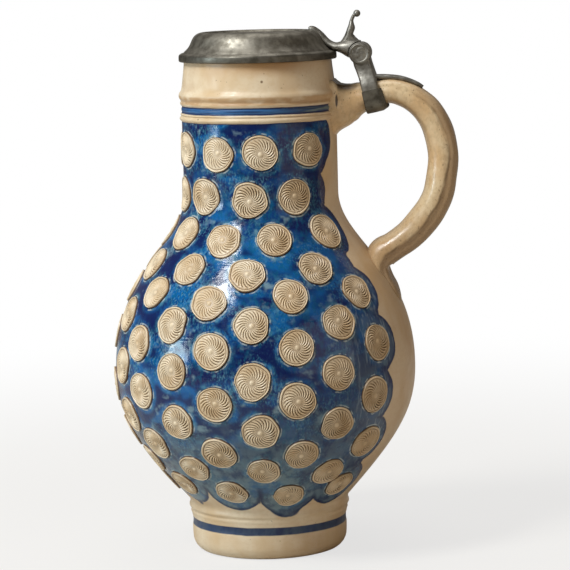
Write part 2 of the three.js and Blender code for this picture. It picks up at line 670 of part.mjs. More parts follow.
// The tang: a tapering tongue that lies along the back of the handle, away from the shank.
function handleTang() {
  const from = BAND_STEPS + 0.4;
  const steps = 5;
  const length = TANG_END_STEPS - from;
  const stations = [];
  for (let i = 0; i <= steps; i += 1) {
    const share = i / steps;
    const { point, back, thick } = HANDLE.at(from + length * share);
    const own = THREE.MathUtils.lerp(TANG_THICKNESS, TANG_TIP_THICKNESS, share);
    const lift = thick / 2 + JOINT_GAP + own / 2;
    stations.push({
      x: point.x + back.x * lift,
      z: point.z + back.z * lift,
      thick: own,
      wide: THREE.MathUtils.lerp(TANG_WIDTH, TANG_TIP_WIDTH, share),
    });
  }
  return new Run(stations).sweep(ROUND_BAR)
    .subtract(shankBlock(JOINT_GAP))
    .subtract(HANDLE.sweep(HANDLE_OUTLINE, JOINT_GAP));
}

function hingeCap(side) {
  const inner = side * CAP_FROM;
  const outer = side * (CAP_FROM + CAP_THICKNESS);
  return barAlongY(CAP_RADIUS, HINGE, Math.min(inner, outer), Math.max(inner, outer));
}

function hingePin() {
  return barAlongY(PIN_RADIUS, HINGE, -CHEEK_TO, CHEEK_TO);
}

function addPiece(group, name, solid, material) {
  const piece = new THREE.Mesh(geometryOf(solid), material);
  piece.name = name;
  piece.position.copy(group.position).negate();
  group.add(piece);
}

// What stands still: the pot, its handle and the pewter fixed to the handle.
const pot = new THREE.Group();
addPiece(pot, 'stoneware_body', stonewareBody(), GLAZED_CLAY);
addPiece(pot, 'stoneware_handle', stonewareHandle(), GLAZED_CLAY);
addPiece(pot, 'handle_band', handleBand(), PEWTER);
addPiece(pot, 'hinge_shank', hingeShank(), PEWTER);
addPiece(pot, 'handle_tang', handleTang(), PEWTER);
addPiece(pot, 'hinge_pin', hingePin(), PEWTER);
addPiece(pot, 'hinge_cap_near', hingeCap(-1), PEWTER);
addPiece(pot, 'hinge_cap_far', hingeCap(1), PEWTER);

// What turns about the hinge's axis: the lid, its lever and the thumbpiece.
const lid = new THREE.Group();
lid.position.copy(HINGE);
addPiece(lid, 'lid_shell', lidShell(), PEWTER);
addPiece(lid, 'lid_lever', lidLever(), PEWTER);
addPiece(lid, 'thumbpiece', thumbpiece(), PEWTER);

const jug = new THREE.Group();
jug.add(pot, lid);

export default jug;
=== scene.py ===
"""Dresses the stoneware jug: glazed pot with pressed rosettes, pulled handle and pewter lid with its mounts.

Metres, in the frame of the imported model: +Z up, the foot's centre at the origin, the handle towards +X.
Azimuths are measured from -Y, the front, towards +X.
"""
import logging
import math
from collections.abc import Iterator, Sequence
from contextlib import contextmanager
from dataclasses import dataclass
from enum import Enum
from itertools import pairwise

import bpy
import numpy as np
from mathutils import Matrix, Vector


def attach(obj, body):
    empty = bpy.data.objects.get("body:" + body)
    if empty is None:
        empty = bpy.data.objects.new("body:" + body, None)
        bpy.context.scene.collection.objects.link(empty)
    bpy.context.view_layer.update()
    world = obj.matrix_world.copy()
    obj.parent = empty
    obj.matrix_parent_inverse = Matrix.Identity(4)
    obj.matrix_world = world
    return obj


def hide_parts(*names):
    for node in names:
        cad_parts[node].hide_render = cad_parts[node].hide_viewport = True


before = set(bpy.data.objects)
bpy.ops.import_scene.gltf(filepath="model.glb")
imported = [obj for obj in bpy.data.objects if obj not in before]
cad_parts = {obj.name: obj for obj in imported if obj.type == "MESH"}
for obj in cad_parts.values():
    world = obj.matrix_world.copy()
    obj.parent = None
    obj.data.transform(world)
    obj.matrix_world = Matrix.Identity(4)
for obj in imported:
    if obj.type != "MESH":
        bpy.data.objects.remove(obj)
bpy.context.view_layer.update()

log = logging.getLogger("stoneware_jug")
MM = 0.001


class Body(Enum):
    """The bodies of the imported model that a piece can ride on."""

    JUG = "jug"
    LID = "lid"


class Slot(Enum):
    """The record's material slots."""

    GLAZED = "glazed_stoneware"
    PLAIN = "plain_stoneware"
    PEWTER = "pewter"
    LID_PEWTER = "lid_pewter"


class Axis(Enum):
    """The three axes, as the operators and the shader nodes name them."""

    X = "X"
    Y = "Y"
    Z = "Z"


Colour = tuple[float, float, float, float]
Point = tuple[float, float]
Triple = tuple[float, float, float]
Profile = tuple[Point, ...]
# two levels of a number, and the shares that a coat has at them
Change = tuple[float, float, float, float]
Socket = bpy.types.NodeSocket


def paint(red: int, green: int, blue: int) -> Colour:
    """Turns a colour as seen on a screen into the linear one that a shader takes.

    Args:
        red: Red, 0 to 255.
        green: Green, 0 to 255.
        blue: Blue, 0 to 255.

    Returns:
        The linear colour with full alpha.
    """
    linear = [
        c / 12.92 if c <= 0.04045 else ((c + 0.055) / 1.055) ** 2.4
        for c in (red / 255, green / 255, blue / 255)
    ]
    return (linear[0], linear[1], linear[2], 1.0)


def curve_through(points: Sequence[Sequence[float]], steps: int) -> list[list[float]]:
    """Draws a smooth curve through points of any number of values.

    Args:
        points: The points to pass through.
        steps: How many steps lie between two of them.

    Returns:
        The points of the curve, both ends included.
    """
    p = np.array(points, float)
    padded = np.vstack([2 * p[0] - p[1], p, 2 * p[-1] - p[-2]])
    drawn = []
    for i in range(len(p) - 1):
        a, b, c, d = padded[i : i + 4]
        for t in np.arange(steps) / steps:
            square = (2 * a - 5 * b + 4 * c - d) * t**2
            cube = (3 * b - a - 3 * c + d) * t**3
            drawn.append(0.5 * (2 * b + (c - a) * t + square + cube))
    return [list(map(float, q)) for q in [*drawn, p[-1]]]


def bezier(start: Point, first: Point, second: Point, end: Point, steps: int) -> list[Point]:
    """Draws a cubic curve from its two ends and two handles.

    Args:
        start: The first end.
        first: The first end's handle.
        second: The last end's handle.
        end: The last end.
        steps: How many steps to take.

    Returns:
        The points, both ends included.
    """
    t = np.linspace(0, 1, steps + 1)[:, None]
    a, b, c, d = map(np.array, (start, first, second, end))
    drawn = (1 - t) ** 3 * a + 3 * (1 - t) ** 2 * t * b + 3 * (1 - t) * t**2 * c + t**3 * d
    return [(float(x), float(y)) for x, y in drawn]


@dataclass(frozen=True)
class Cloud:
    """Cloudy noise, and how strongly a coat shows in it.

    The clouds' size is in millimetres, and the seed shifts them, so that no two patterns are alike. The
    detail counts the finer layers, and the roughness is their strength. The stretch says how many times
    longer the clouds are along each axis. Between two levels of the noise, the coat goes from one share to
    another.
    """

    size: float
    seed: float
    detail: float = 2.0
    stretch: Triple = (1.0, 1.0, 1.0)
    roughness: float = 0.5
    levels: Point = (0.3, 0.7)
    shares: Point = (0.0, 1.0)


@dataclass(frozen=True)
class Slope:
    """A share that changes smoothly between two places along an axis, in millimetres."""

    axis: Axis
    places: Point
    shares: Point = (0.0, 1.0)


class Sketch:
    """A material's nodes while they are drawn up, all on Object coordinates or the piece's attributes."""

    # how much of a pattern's seed shifts it along each axis
    SHIFT = (1.0, 1.7, 0.6)

    def __init__(self, name: str) -> None:
        """Starts a material with one shader.

        Args:
            name: The material's name.
        """
        self.material = bpy.data.materials.new(name)
        self.material.use_nodes = True
        self.tree = self.material.node_tree
        self.shader = self.tree.nodes["Principled BSDF"]
        self.place = self.tree.nodes.new("ShaderNodeTexCoord").outputs["Object"]

    def feed(self, socket: Socket, value: object) -> None:
        """Links a socket's source to it, or sets its plain value.

        Args:
            socket: The socket.
            value: A source, or a plain value.
        """
        if isinstance(value, Socket):
            self.tree.links.new(value, socket)
        else:
            socket.default_value = value

    def node(self, kind: str, *values: object, **settings: object) -> bpy.types.Node:
        """Adds a node.

        Args:
            kind: Its type.
            values: What its first sockets take, as sources or plain values.
            settings: Its settings.

        Returns:
            The node.
        """
        node = self.tree.nodes.new(kind)
        for name, setting in settings.items():
            setattr(node, name, setting)
        for socket, value in zip(node.inputs, values):
            self.feed(socket, value)
        return node

    def attribute(self, name: str) -> Socket:
        """Reads a number that the piece's vertices carry."""
        return self.node("ShaderNodeAttribute", attribute_name=name).outputs["Fac"]

    def axis(self, which: Axis) -> Socket:
        """Reads one of the three coordinates."""
        return self.node("ShaderNodeSeparateXYZ", self.place).outputs[which.value]

    def sum(self, operation: str, *values: object) -> Socket:
        """Works out a number from sockets or numbers."""
        return self.node("ShaderNodeMath", *values, operation=operation).outputs[0]

    def vector(self, operation: str, *values: object) -> Socket:
        """Works out a vector, or the number that a length or a distance gives."""
        node = self.node("ShaderNodeVectorMath", *values, operation=operation)
        return node.outputs["Value" if operation in ("LENGTH", "DISTANCE") else "Vector"]

    def noise(self, cloud: Cloud) -> Socket:
        """Draws a cloud's noise.

        Args:
            cloud: The cloud.

        Returns:
            The noise, about 0.5 on average.
        """
        scaled = self.vector("MULTIPLY", self.place, tuple(1 / (cloud.size * MM * s) for s in cloud.stretch))
        moved = self.vector("ADD", scaled, tuple(cloud.seed * share for share in self.SHIFT))
        node = self.node("ShaderNodeTexNoise")
        node.inputs["Scale"].default_value = 1.0
        node.inputs["Detail"].default_value = cloud.detail
        node.inputs["Roughness"].default_value = cloud.roughness
        self.feed(node.inputs["Vector"], moved)
        return node.outputs["Fac"]

    def rings(self, size: float, seed: float) -> Socket:
        """Draws noise that goes round the Z axis, as a turning tool leaves it.

        Args:
            size: How wide its rings are, in millimetres.
            seed: Shifts the pattern.

        Returns:
            The noise.
        """
        radius = self.vector("LENGTH", self.vector("MULTIPLY", self.place, (1.0, 1.0, 0.0)))
        node = self.node("ShaderNodeTexNoise", noise_dimensions="1D")
        node.inputs["Scale"].default_value = 1.0
        node.inputs["Detail"].default_value = 3.0
        self.feed(node.inputs["W"], self.sum("MULTIPLY_ADD", radius, 1 / (size * MM), seed))
        return node.outputs["Fac"]

    def step(self, value: object, low: float, high: float, start: float = 0.0, end: float = 1.0) -> Socket:
        """Goes smoothly from one value to another while a number goes from low to high."""
        values = (value, low, high, start, end)
        return self.node("ShaderNodeMapRange", *values, interpolation_type="SMOOTHSTEP").outputs[0]

    def cloud(self, cloud: Cloud) -> Socket:
        """Gives the share of a coat that a cloud lets show."""
        return self.step(self.noise(cloud), *cloud.levels, *cloud.shares)

    def slope(self, slope: Slope) -> Socket:
        """Gives a slope's share."""
        start, end = slope.places
        return self.step(self.axis(slope.axis), start * MM, end * MM, *slope.shares)

    def band(self, value: object, low: float, high: float, soft: float) -> Socket:
        """Gives 1 between low and high and 0 outside, with soft edges."""
        up = self.step(value, low - soft, low + soft)
        return self.sum("MULTIPLY", up, self.step(value, high - soft, high + soft, 1.0, 0.0))

    def waver(self, value: object, cloud: Cloud, by: float) -> Socket:
        """Lets a number waver with a cloud's noise, by so much from its lowest to its highest."""
        return self.sum("MULTIPLY_ADD", self.noise(cloud), by, self.sum("SUBTRACT", value, by / 2))

    def blend(self, share: object, first: object, second: object) -> Socket:
        """Mixes two colours.

        Args:
            share: The second colour's share, from 0 to 1.
            first: The first colour.
            second: The second colour.

        Returns:
            The mixed colour.
        """
        node = self.node("ShaderNodeMix", data_type="RGBA")
        for socket, value in ((0, share), (6, first), (7, second)):
            self.feed(node.inputs[socket], value)
        return node.outputs[2]

    def coats(self, under: object, *layers: Sequence[object]) -> Socket:
        """Lays coats over a colour.

        Args:
            under: The colour below them.
            layers: Each coat's colour, and the shares whose product says how strongly it shows.

        Returns:
            The colour on top.
        """
        for colour, share, *others in layers:
            for other in others:
                share = self.sum("MULTIPLY", share, other)
            under = self.blend(share, under, colour)
        return under

    def bump(self, height: object, depth: float, under: Socket | None = None) -> Socket:
        """Raises and sinks the surface a little.

        Args:
            height: The pattern.
            depth: How deep it is, in millimetres.
            under: The bumps below it.

        Returns:
            The bent normal.
        """
        node = self.node("ShaderNodeBump")
        node.inputs["Distance"].default_value = depth * MM
        self.feed(node.inputs["Height"], height)
        if under is not None:
            self.feed(node.inputs["Normal"], under)
        return node.outputs[0]

    def finish(self, **sockets: object) -> bpy.types.Material:
        """Feeds the shader's own sockets.

        Args:
            sockets: What they take, under their names with _ for spaces.

        Returns:
            The material.
        """
        for name, value in sockets.items():
            self.feed(self.shader.inputs[name.replace("_", " ")], value)
        return self.material


@dataclass(frozen=True)
class ClayTones:
    """The fired stoneware where no cobalt was brushed on, with clouds, fine mottling and iron specks."""

    pale: Colour = paint(221, 203, 175)
    warm: Colour = paint(204, 176, 138)
    # a brown for the clay's flush, which the glaze also uses for the lid's painted shadow
    flush_and_shade_brown: Colour = paint(172, 130, 84)
    speck: Colour = paint(104, 78, 52)
    clouds: Cloud = Cloud(26, 3.1, 3, (1, 1, 1.6), levels=(0.38, 0.66))
    mottle: Cloud = Cloud(2.1, 8.3, 3, (1, 1, 0.7), levels=(0.42, 0.72), shares=(0.0, 0.35))
    flush: Cloud = Cloud(40, 5.9, 2, (1, 1, 0.5), levels=(0.54, 0.72), shares=(0.0, 0.4))
    specks: Cloud = Cloud(1.3, 12.7, 1, levels=(0.75, 0.8), shares=(0.0, 0.6))

    def draw(self, sketch: Sketch) -> Socket:
        """Draws the clay.

        Args:
            sketch: The material that it goes into.

        Returns:
            The colour.
        """
        return sketch.coats(
            sketch.blend(sketch.cloud(self.clouds), self.pale, self.warm),
            (self.warm, sketch.cloud(self.mottle)),
            (self.flush_and_shade_brown, sketch.cloud(self.flush)),
            (self.speck, sketch.cloud(self.specks)),
        )


@dataclass(frozen=True)
class Cobalt:
    """The brushed cobalt: clouds, runs and stipple, washed out low down and greyer towards the handle."""

    deep: Colour = paint(0, 20, 74)
    plain: Colour = paint(0, 58, 114)
    bright: Colour = paint(2, 90, 150)
    teal: Colour = paint(0, 82, 112)
    milky: Colour = paint(80, 136, 156)
    washed: Colour = paint(112, 136, 146)
    bare: Colour = paint(132, 160, 168)
    slate: Colour = paint(120, 134, 146)
    violet: Colour = paint(74, 88, 108)
    clouds: Cloud = Cloud(12, 1.3, 2, (1.6, 1.6, 0.8), 0.45, (0.43, 0.56))
    lit: Cloud = Cloud(15, 6.6, 2, (1.2, 1.2, 0.8), 0.45, (0.48, 0.6), (0.0, 0.85))
    runs: Cloud = Cloud(2.0, 4.4, 2, (1, 1, 2.6), levels=(0.46, 0.64), shares=(0.0, 0.5))
    patches: Cloud = Cloud(19, 9.1, 2, (1, 1, 0.9), levels=(0.44, 0.58), shares=(0.1, 1.0))
    stipple: Cloud = Cloud(0.9, 2.2, 2, (1, 1, 1.7), levels=(0.5, 0.64), shares=(0.0, 0.55))
    uneven: Cloud = Cloud(6, 10.3, 3, roughness=0.6, levels=(0.46, 0.66), shares=(0.0, 0.9))
    strokes: Cloud = Cloud(21, 3.4, 2, (1.4, 1.4, 0.8), 0.45, (0.47, 0.56), (0.0, 0.9))
    dots: Cloud = Cloud(1.3, 5.2, 1, (1, 1, 2.0), levels=(0.52, 0.66), shares=(0.0, 0.6))
    thin: Cloud = Cloud(9, 7.7, 3, (1.2, 1.2, 1), 0.6, (0.58, 0.74), (0.0, 0.6))
    faded: Cloud = Cloud(7, 12.3, 3, (1, 1, 1.4), 0.6, (0.36, 0.62), (0.3, 1.0))
    greyed: Cloud = Cloud(19, 11.0, 2, levels=(0.42, 0.6), shares=(0.1, 0.8))
    streaks: Cloud = Cloud(1.7, 11.9, 2, (1, 1, 7), levels=(0.5, 0.68), shares=(0.0, 0.6))
    low: Slope = Slope(Axis.Z, (98, 36), (0.0, 0.9))
    shaded: Slope = Slope(Axis.X, (14, 36), (0.0, 0.35))
    handle_side: Slope = Slope(Axis.X, (38, 64))
    # how far from a rosette the milky ring starts to fade and ends, with its shares, and where strokes set in
    beside: Change = (1.0, 4.4, 0.6, 0.0)
    clear: Point = (1.4, 4.0)

    def draw(self, sketch: Sketch) -> Socket:
        """Draws the cobalt.

        Args:
            sketch: The material that it goes into.

        Returns:
            The colour.
        """
        gap = sketch.attribute("rosette_gap")
        patches = sketch.cloud(self.patches)
        handle_side = sketch.slope(self.handle_side)
        return sketch.coats(
            sketch.blend(sketch.cloud(self.clouds), self.deep, self.plain),
            (self.bright, sketch.cloud(self.lit)),
            (self.teal, sketch.cloud(self.runs)),
            (self.milky, sketch.cloud(self.stipple), patches),
            (self.milky, sketch.step(gap, *self.beside), sketch.cloud(self.uneven)),
            (self.deep, sketch.cloud(self.strokes), sketch.step(gap, *self.clear)),
            (self.deep, sketch.cloud(self.dots), patches),
            (self.bare, sketch.cloud(self.thin)),
            (self.washed, sketch.slope(self.low), sketch.cloud(self.faded)),
            (self.deep, sketch.slope(self.shaded)),
            (self.violet, handle_side, sketch.cloud(self.greyed)),
            (self.slate, handle_side, sketch.cloud(self.streaks)),
        )


@dataclass(frozen=True)
class SaltGlaze:
    """Cobalt brushed between the rosettes under a glossy salt glaze, on stoneware, in millimetres."""

    clay: ClayTones = ClayTones()
    cobalt: Cobalt = Cobalt()
    pooled: Colour = paint(2, 18, 66)
    stripe: Colour = paint(52, 104, 156)
    worn_stripe: Colour = paint(112, 124, 120)
    joint_and_shadow: Colour = paint(22, 17, 15)
    halo: Colour = paint(176, 184, 182)

    # the clay: a browner band on its ring, the painted shadow of the lid's rim just under the lid, browner
    # towards the handle, and small pits, each with its place and size
    brown_ring_band: Point = (239.3, 243.7)
    patchy: Cloud = Cloud(8, 15.5, 2, (1, 1, 0.4), levels=(0.35, 0.6), shares=(0.25, 0.75))
    lid_shadow_height: Slope = Slope(Axis.Z, (252, 261))
    lid_shadow_rises: Slope = Slope(Axis.X, (-32, 8), (0.15, 1.0))
    lid_shadow_fades: Slope = Slope(Axis.X, (16, 36), (1.0, 0.3))
    browner_by_handle: Slope = Slope(Axis.X, (12, 52), (0.0, 0.4))
    pits: tuple[tuple[float, float, float, float], ...] = (
        (5.5, -39.5, 251.6, 1.0), (-29.2, -30.2, 232.4, 0.7),
    )

    # the brushed edge of the field, the neck's stripe, the foot's band and a drip beside it with its radius
    wobble: Cloud = Cloud(7, 16.1)
    wobbles_by: float = 1.6
    covers: Point = (-0.3, 0.35)
    pooling: Change = (0.6, 2.6, 0.75, 0.0)
    waver: Cloud = Cloud(9, 14.2)
    neck_stripe: Point = (234.4, 238.3)
    stripe_core: Point = (235.2, 237.5)
    stripe_end: Slope = Slope(Axis.X, (38.2, 38.6), (1.0, 0.0))
    stripe_streaks: Cloud = Cloud(1.4, 13.3, 2, (14, 14, 0.8), levels=(0.4, 0.6), shares=(0.25, 0.9))
    stripe_fades: Slope = Slope(Axis.X, (4, 34), (1.0, 0.3))
    stripe_thinned: Cloud = Cloud(1.1, 13.9, 2, (14, 14, 0.8), levels=(0.42, 0.58), shares=(0.2, 0.8))
    stripe_thins: Slope = Slope(Axis.X, (20, 33))
    foot_band: Point = (13.7, 17.9)
    drip: Triple = (-34.0, -28.3, 29.5)
    drip_edge: Point = (1.2, 2.6)

    # round each rosette: a dark joint with painted shadow, thicker low and to the right, and a pale, broken
    # ring
    ragged: Cloud = Cloud(2.4, 17.9)
    raggedness: float = 0.7
    broken: Cloud = Cloud(3.6, 18.4, 3, levels=(0.42, 0.6), shares=(0.0, 0.85))
    ring: Triple = (0.85, 1.5, 0.35)
    edge: Change = (0.5, 1.0, 0.92, 0.0)

    # the surface: orange peel, throwing marks and an uneven wall
    peel: Cloud = Cloud(1.4, 19.3, 2, (1, 1, 2.0))
    thrown: Cloud = Cloud(1.6, 20.7, 2, (16, 16, 1))
    wall: Cloud = Cloud(13, 21.1)
    glossy: Cloud = Cloud(5, 22.5, 3, shares=(0.08, 0.2))
    duller_clay: float = 0.22
    refraction: float = 1.44

    def wavering_height(self, sketch: Sketch) -> Socket:
        """Gives the height, wavering a little as a brushed line does."""
        return sketch.waver(sketch.axis(Axis.Z), self.waver, 0.5 * MM)

    def stripes(self, sketch: Sketch) -> Socket:
        """Draws the neck's stripe, the foot's band and the drip.

        Args:
            sketch: The material that they go into.

        Returns:
            1 on them, and 0 elsewhere.
        """
        height = self.wavering_height(sketch)
        neck = sketch.band(height, *(z * MM for z in self.neck_stripe), 0.25 * MM)
        neck = sketch.sum("MULTIPLY", neck, sketch.slope(self.stripe_end))
        foot = sketch.band(height, *(z * MM for z in self.foot_band), 0.3 * MM)
        away = sketch.vector("DISTANCE", sketch.place, tuple(c * MM for c in self.drip))
        drip = sketch.step(away, *(edge * MM for edge in self.drip_edge), 1.0, 0.0)
        return sketch.sum("MAXIMUM", sketch.sum("MAXIMUM", neck, foot), drip)

    def draw_clay(self, sketch: Sketch) -> Socket:
        """Draws the clay with its flushed ring, its browner parts and its pits.

        Args:
            sketch: The material that it goes into.

        Returns:
            The colour.
        """
        ring = sketch.band(sketch.axis(Axis.Z), *(z * MM for z in self.brown_ring_band), 0.6 * MM)
        clay = sketch.coats(
            self.clay.draw(sketch),
            (self.clay.flush_and_shade_brown, ring, sketch.cloud(self.patchy)),
            # painted shadow of the lid's rim on the neck, darkest at the front and fading to the right
            (self.clay.flush_and_shade_brown, *(sketch.slope(s) for s in (self.lid_shadow_height, self.lid_shadow_rises, self.lid_shadow_fades))),
            (self.clay.flush_and_shade_brown, sketch.slope(self.browner_by_handle)),
        )
        for x, y, z, size in self.pits:
            near = sketch.vector("DISTANCE", sketch.place, (x * MM, y * MM, z * MM))
            pit = sketch.step(near, 0.4 * size * MM, size * MM, 0.9, 0.0)
            clay = sketch.coats(clay, (self.clay.speck, pit))
        return clay

    def draw_blue(self, sketch: Sketch, reach: Socket) -> Socket:
        """Draws the cobalt, pooled along the field's edge, and the stripe's lighter and worn core.

        Args:
            sketch: The material that it goes into.
            reach: How far inside the field a place lies.

        Returns:
            The colour.
        """
        core = sketch.band(self.wavering_height(sketch), *(z * MM for z in self.stripe_core), 0.4 * MM)
        return sketch.coats(
            self.cobalt.draw(sketch),
            (self.pooled, sketch.step(reach, *self.pooling)),
            (self.stripe, core, sketch.slope(self.stripe_fades), sketch.cloud(self.stripe_streaks)),
            (self.worn_stripe, core, sketch.slope(self.stripe_thins), sketch.cloud(self.stripe_thinned)),
        )

    def material(self) -> bpy.types.Material:
        """Draws the whole glaze up.

        Returns:
            The material.
        """
        sketch = Sketch("salt_glaze")
        reach = sketch.waver(sketch.attribute("cobalt_reach"), self.wobble, self.wobbles_by)
        covered = sketch.step(reach, *self.covers)
        brushed = sketch.sum("MAXIMUM", covered, self.stripes(sketch))
        gap = sketch.attribute("rosette_gap")
        gap = sketch.sum("MULTIPLY_ADD", sketch.noise(self.ragged), self.raggedness, gap)
        colour = sketch.coats(
            self.draw_clay(sketch),
            (self.draw_blue(sketch, reach), brushed),
            (self.halo, sketch.band(gap, *self.ring), sketch.cloud(self.broken)),
            # the dark joint round each rosette, with its painted shadow, thicker low and to the right
            (self.joint_and_shadow, sketch.step(gap, *self.edge)),
        )
        peel = sketch.bump(sketch.noise(self.peel), 0.05)
        thrown = sketch.bump(sketch.noise(self.thrown), 0.06, peel)
        wall = sketch.bump(sketch.noise(self.wall), 0.55, thrown)
        bare = sketch.step(covered, 0.0, 1.0, 1.0, 0.0)
        rough = sketch.sum("MULTIPLY_ADD", bare, self.duller_clay, sketch.cloud(self.glossy))
        return sketch.finish(Base_Color=colour, Roughness=rough, Normal=wall, IOR=self.refraction)


@dataclass(frozen=True)
class InnerGlaze:
    """Bare stoneware under a thin clear glaze, inside the pot."""

    clay: ClayTones = ClayTones()
    shade: Colour = paint(150, 116, 78)
    pooled: Cloud = Cloud(11, 23.0, 3, levels=(0.45, 0.7), shares=(0.0, 0.3))
    smeared: Cloud = Cloud(2.2, 24.6)
    uneven: Cloud = Cloud(10, 25.2)
    glossy: Cloud = Cloud(6, 26.4, shares=(0.24, 0.42))

    def material(self) -> bpy.types.Material:
        """Draws the glaze up.

        Returns:
            The material.
        """
        sketch = Sketch("inner_glaze")
        colour = sketch.coats(self.clay.draw(sketch), (self.shade, sketch.cloud(self.pooled)))
        smeared = sketch.bump(sketch.noise(self.smeared), 0.12)
        uneven = sketch.bump(sketch.noise(self.uneven), 0.6, smeared)
        return sketch.finish(Base_Color=colour, Roughness=sketch.cloud(self.glossy), Normal=uneven)


@dataclass(frozen=True)
class HandleGlaze:
    """The handle's stoneware: tan, darker over the back, with painted shade and dark spots along the crease,
    painted shade under the bend, and grime with painted shade at the root.
    """

    tan: Colour = paint(202, 168, 124)
    pale: Colour = paint(214, 190, 152)
    back: Colour = paint(152, 122, 88)
    # the crease's colour: painted shade in its groove, and the dark specks
    crease: Colour = paint(112, 86, 54)
    grime_and_shade: Colour = paint(58, 42, 27)
    clouds: Cloud = Cloud(15, 51.0, 3, (1, 1, 1.4), levels=(0.38, 0.64))
    mottle: Cloud = Cloud(1.8, 52.0, 3, (1, 1, 1.5), levels=(0.42, 0.7), shares=(0.0, 0.3))
    waver: Cloud = Cloud(7, 53.0)
    lower: Slope = Slope(Axis.Z, (176, 214), (0.26, 0.0))
    darker_down: Slope = Slope(Axis.Z, (204, 160), (0.0, 0.4))
    patchy: Cloud = Cloud(6, 54.0, 3, (1, 1, 2.0), levels=(0.34, 0.6), shares=(0.25, 0.85))
    specks: Cloud = Cloud(1.0, 55.0, 1, (1, 1, 1.5), levels=(0.66, 0.74), shares=(0.0, 0.75))
    smeared: Cloud = Cloud(2.2, 56.0, 2, (1, 1, 2.5))
    uneven: Cloud = Cloud(10, 57.0, 2, (1, 1, 1.6))
    glossy: Cloud = Cloud(6, 58.0, shares=(0.2, 0.38))
    # a slit beside the root, painted dark for the shade and dirt in it: its place and edge in millimetres,
    # and how much each axis counts in its shape
    slit: Triple = (42.1, -13.0, 239.5)
    slit_edge: Point = (0.5, 0.85)
    slit_shape: Triple = (1.0, 0.3, 0.2)
    # along the bar: the root, the bend and what lies past it
    root: Change = (0.16, 0.22, 1.0, 0.0)
    bend: Triple = (0.24, 0.46, 0.06)
    past_bend: Point = (0.3, 0.42)
    # from the hand's side out to the back: how dark it gets, the painted shade under the bend, the grime and
    # painted shade at the root, and the crease's painted shade
    wavers_by: float = 0.24
    outer: Change = (0.32, 0.4, 0.0, 0.85)
    inner: Change = (-0.55, -0.8, 0.0, 0.7)
    shaded_and_grimy: Change = (0.42, 0.74, 0.0, 0.92)
    shaded_crease: Triple = (0.27, 0.42, 0.07)
    specked: Triple = (-0.1, 0.7, 0.25)

    def draw_slit(self, sketch: Sketch) -> Socket:
        """Draws the slit.

        Args:
            sketch: The material that it goes into.

        Returns:
            How strongly it shows.
        """
        off = sketch.vector("SUBTRACT", sketch.place, tuple(c * MM for c in self.slit))
        near = sketch.vector("LENGTH", sketch.vector("MULTIPLY", off, self.slit_shape))
        return sketch.step(near, *(edge * MM for edge in self.slit_edge), 0.95, 0.0)

    def material(self) -> bpy.types.Material:
        """Draws the glaze up.

        Returns:
            The material.
        """
        sketch = Sketch("handle_glaze")
        along = sketch.attribute("along")
        out = sketch.sum("ADD", sketch.slope(self.lower), sketch.attribute("outwards"))
        out = sketch.waver(out, self.waver, self.wavers_by)
        past_bend = sketch.step(along, *self.past_bend)
        bend = sketch.band(along, *self.bend)
        root = sketch.step(along, *self.root)
        colour = sketch.coats(
            sketch.blend(sketch.cloud(self.clouds), self.tan, self.pale),
            (self.back, sketch.cloud(self.mottle)),
            (self.back, sketch.step(out, *self.outer), past_bend),
            (self.back, sketch.slope(self.darker_down)),
            # painted shade on the bar's underside at the bend
            (self.back, bend, sketch.step(out, *self.inner)),
            # grime and painted shade along the top of the root, under the lid and the hinge
            (self.grime_and_shade, root, sketch.step(out, *self.shaded_and_grimy)),
            # the slit, painted dark for the shade and dirt in it
            (self.grime_and_shade, self.draw_slit(sketch)),
            # painted shade in the crease's groove, with dark spots in it
            (self.crease, sketch.band(out, *self.shaded_crease), sketch.cloud(self.patchy), past_bend),
            (self.crease, sketch.cloud(self.specks), sketch.band(out, *self.specked)),
        )
        smeared = sketch.bump(sketch.noise(self.smeared), 0.12)
        uneven = sketch.bump(sketch.noise(self.uneven), 0.5, smeared)
        return sketch.finish(Base_Color=colour, Roughness=sketch.cloud(self.glossy), Normal=uneven)


@dataclass(frozen=True)
class PressedClay:
    """The rosettes' clay: pale on what stands out, brown in the grooves, with some grey stains, and a dark
    joint with painted shade at the foot of the rim.
    """

    crest: Colour = paint(223, 204, 174)
    flank: Colour = paint(204, 178, 141)
    groove: Colour = paint(108, 72, 40)
    stain: Colour = paint(38, 32, 32)
    browner_by_handle: Colour = paint(160, 126, 84)
    edge: Colour = paint(40, 30, 24)
    # how strongly the relief brings out the grooves, the stains, and the dark joint with painted shade at the
    # foot of the rim
    grooved: Change = (0.26, 0.84, 0.95, 0.0)
    stained: Change = (0.36, 0.72, 1.0, 0.03)
    rim_foot_shade: Change = (0.02, 0.14, 0.9, 0.0)
    clouds: Cloud = Cloud(14, 31.0, levels=(0.36, 0.66))
    smudge: Cloud = Cloud(5, 32.0, levels=(0.42, 0.56))
    handle_side: Slope = Slope(Axis.X, (10, 66), (0.0, 0.4))
    fine: Cloud = Cloud(0.8, 33.0)
    glossy: Cloud = Cloud(3, 34.0, shares=(0.3, 0.5))

    def material(self) -> bpy.types.Material:
        """Draws the clay up.

        Returns:
            The material.
        """
        sketch = Sketch("pressed_clay")
        relief = sketch.attribute("relief")
        deep = sketch.step(relief, *self.stained)
        colour = sketch.coats(
            sketch.blend(sketch.cloud(self.clouds), self.crest, self.flank),
            (self.groove, sketch.step(relief, *self.grooved)),
            (self.stain, sketch.cloud(self.smudge), deep, sketch.attribute("stain")),
            (self.browner_by_handle, sketch.slope(self.handle_side)),
            # dark joint and painted shade at the foot of the rim
            (self.edge, sketch.step(relief, *self.rim_foot_shade)),
        )
        fine = sketch.bump(sketch.noise(self.fine), 0.06)
        return sketch.finish(Base_Color=colour, Roughness=sketch.cloud(self.glossy), Normal=fine)


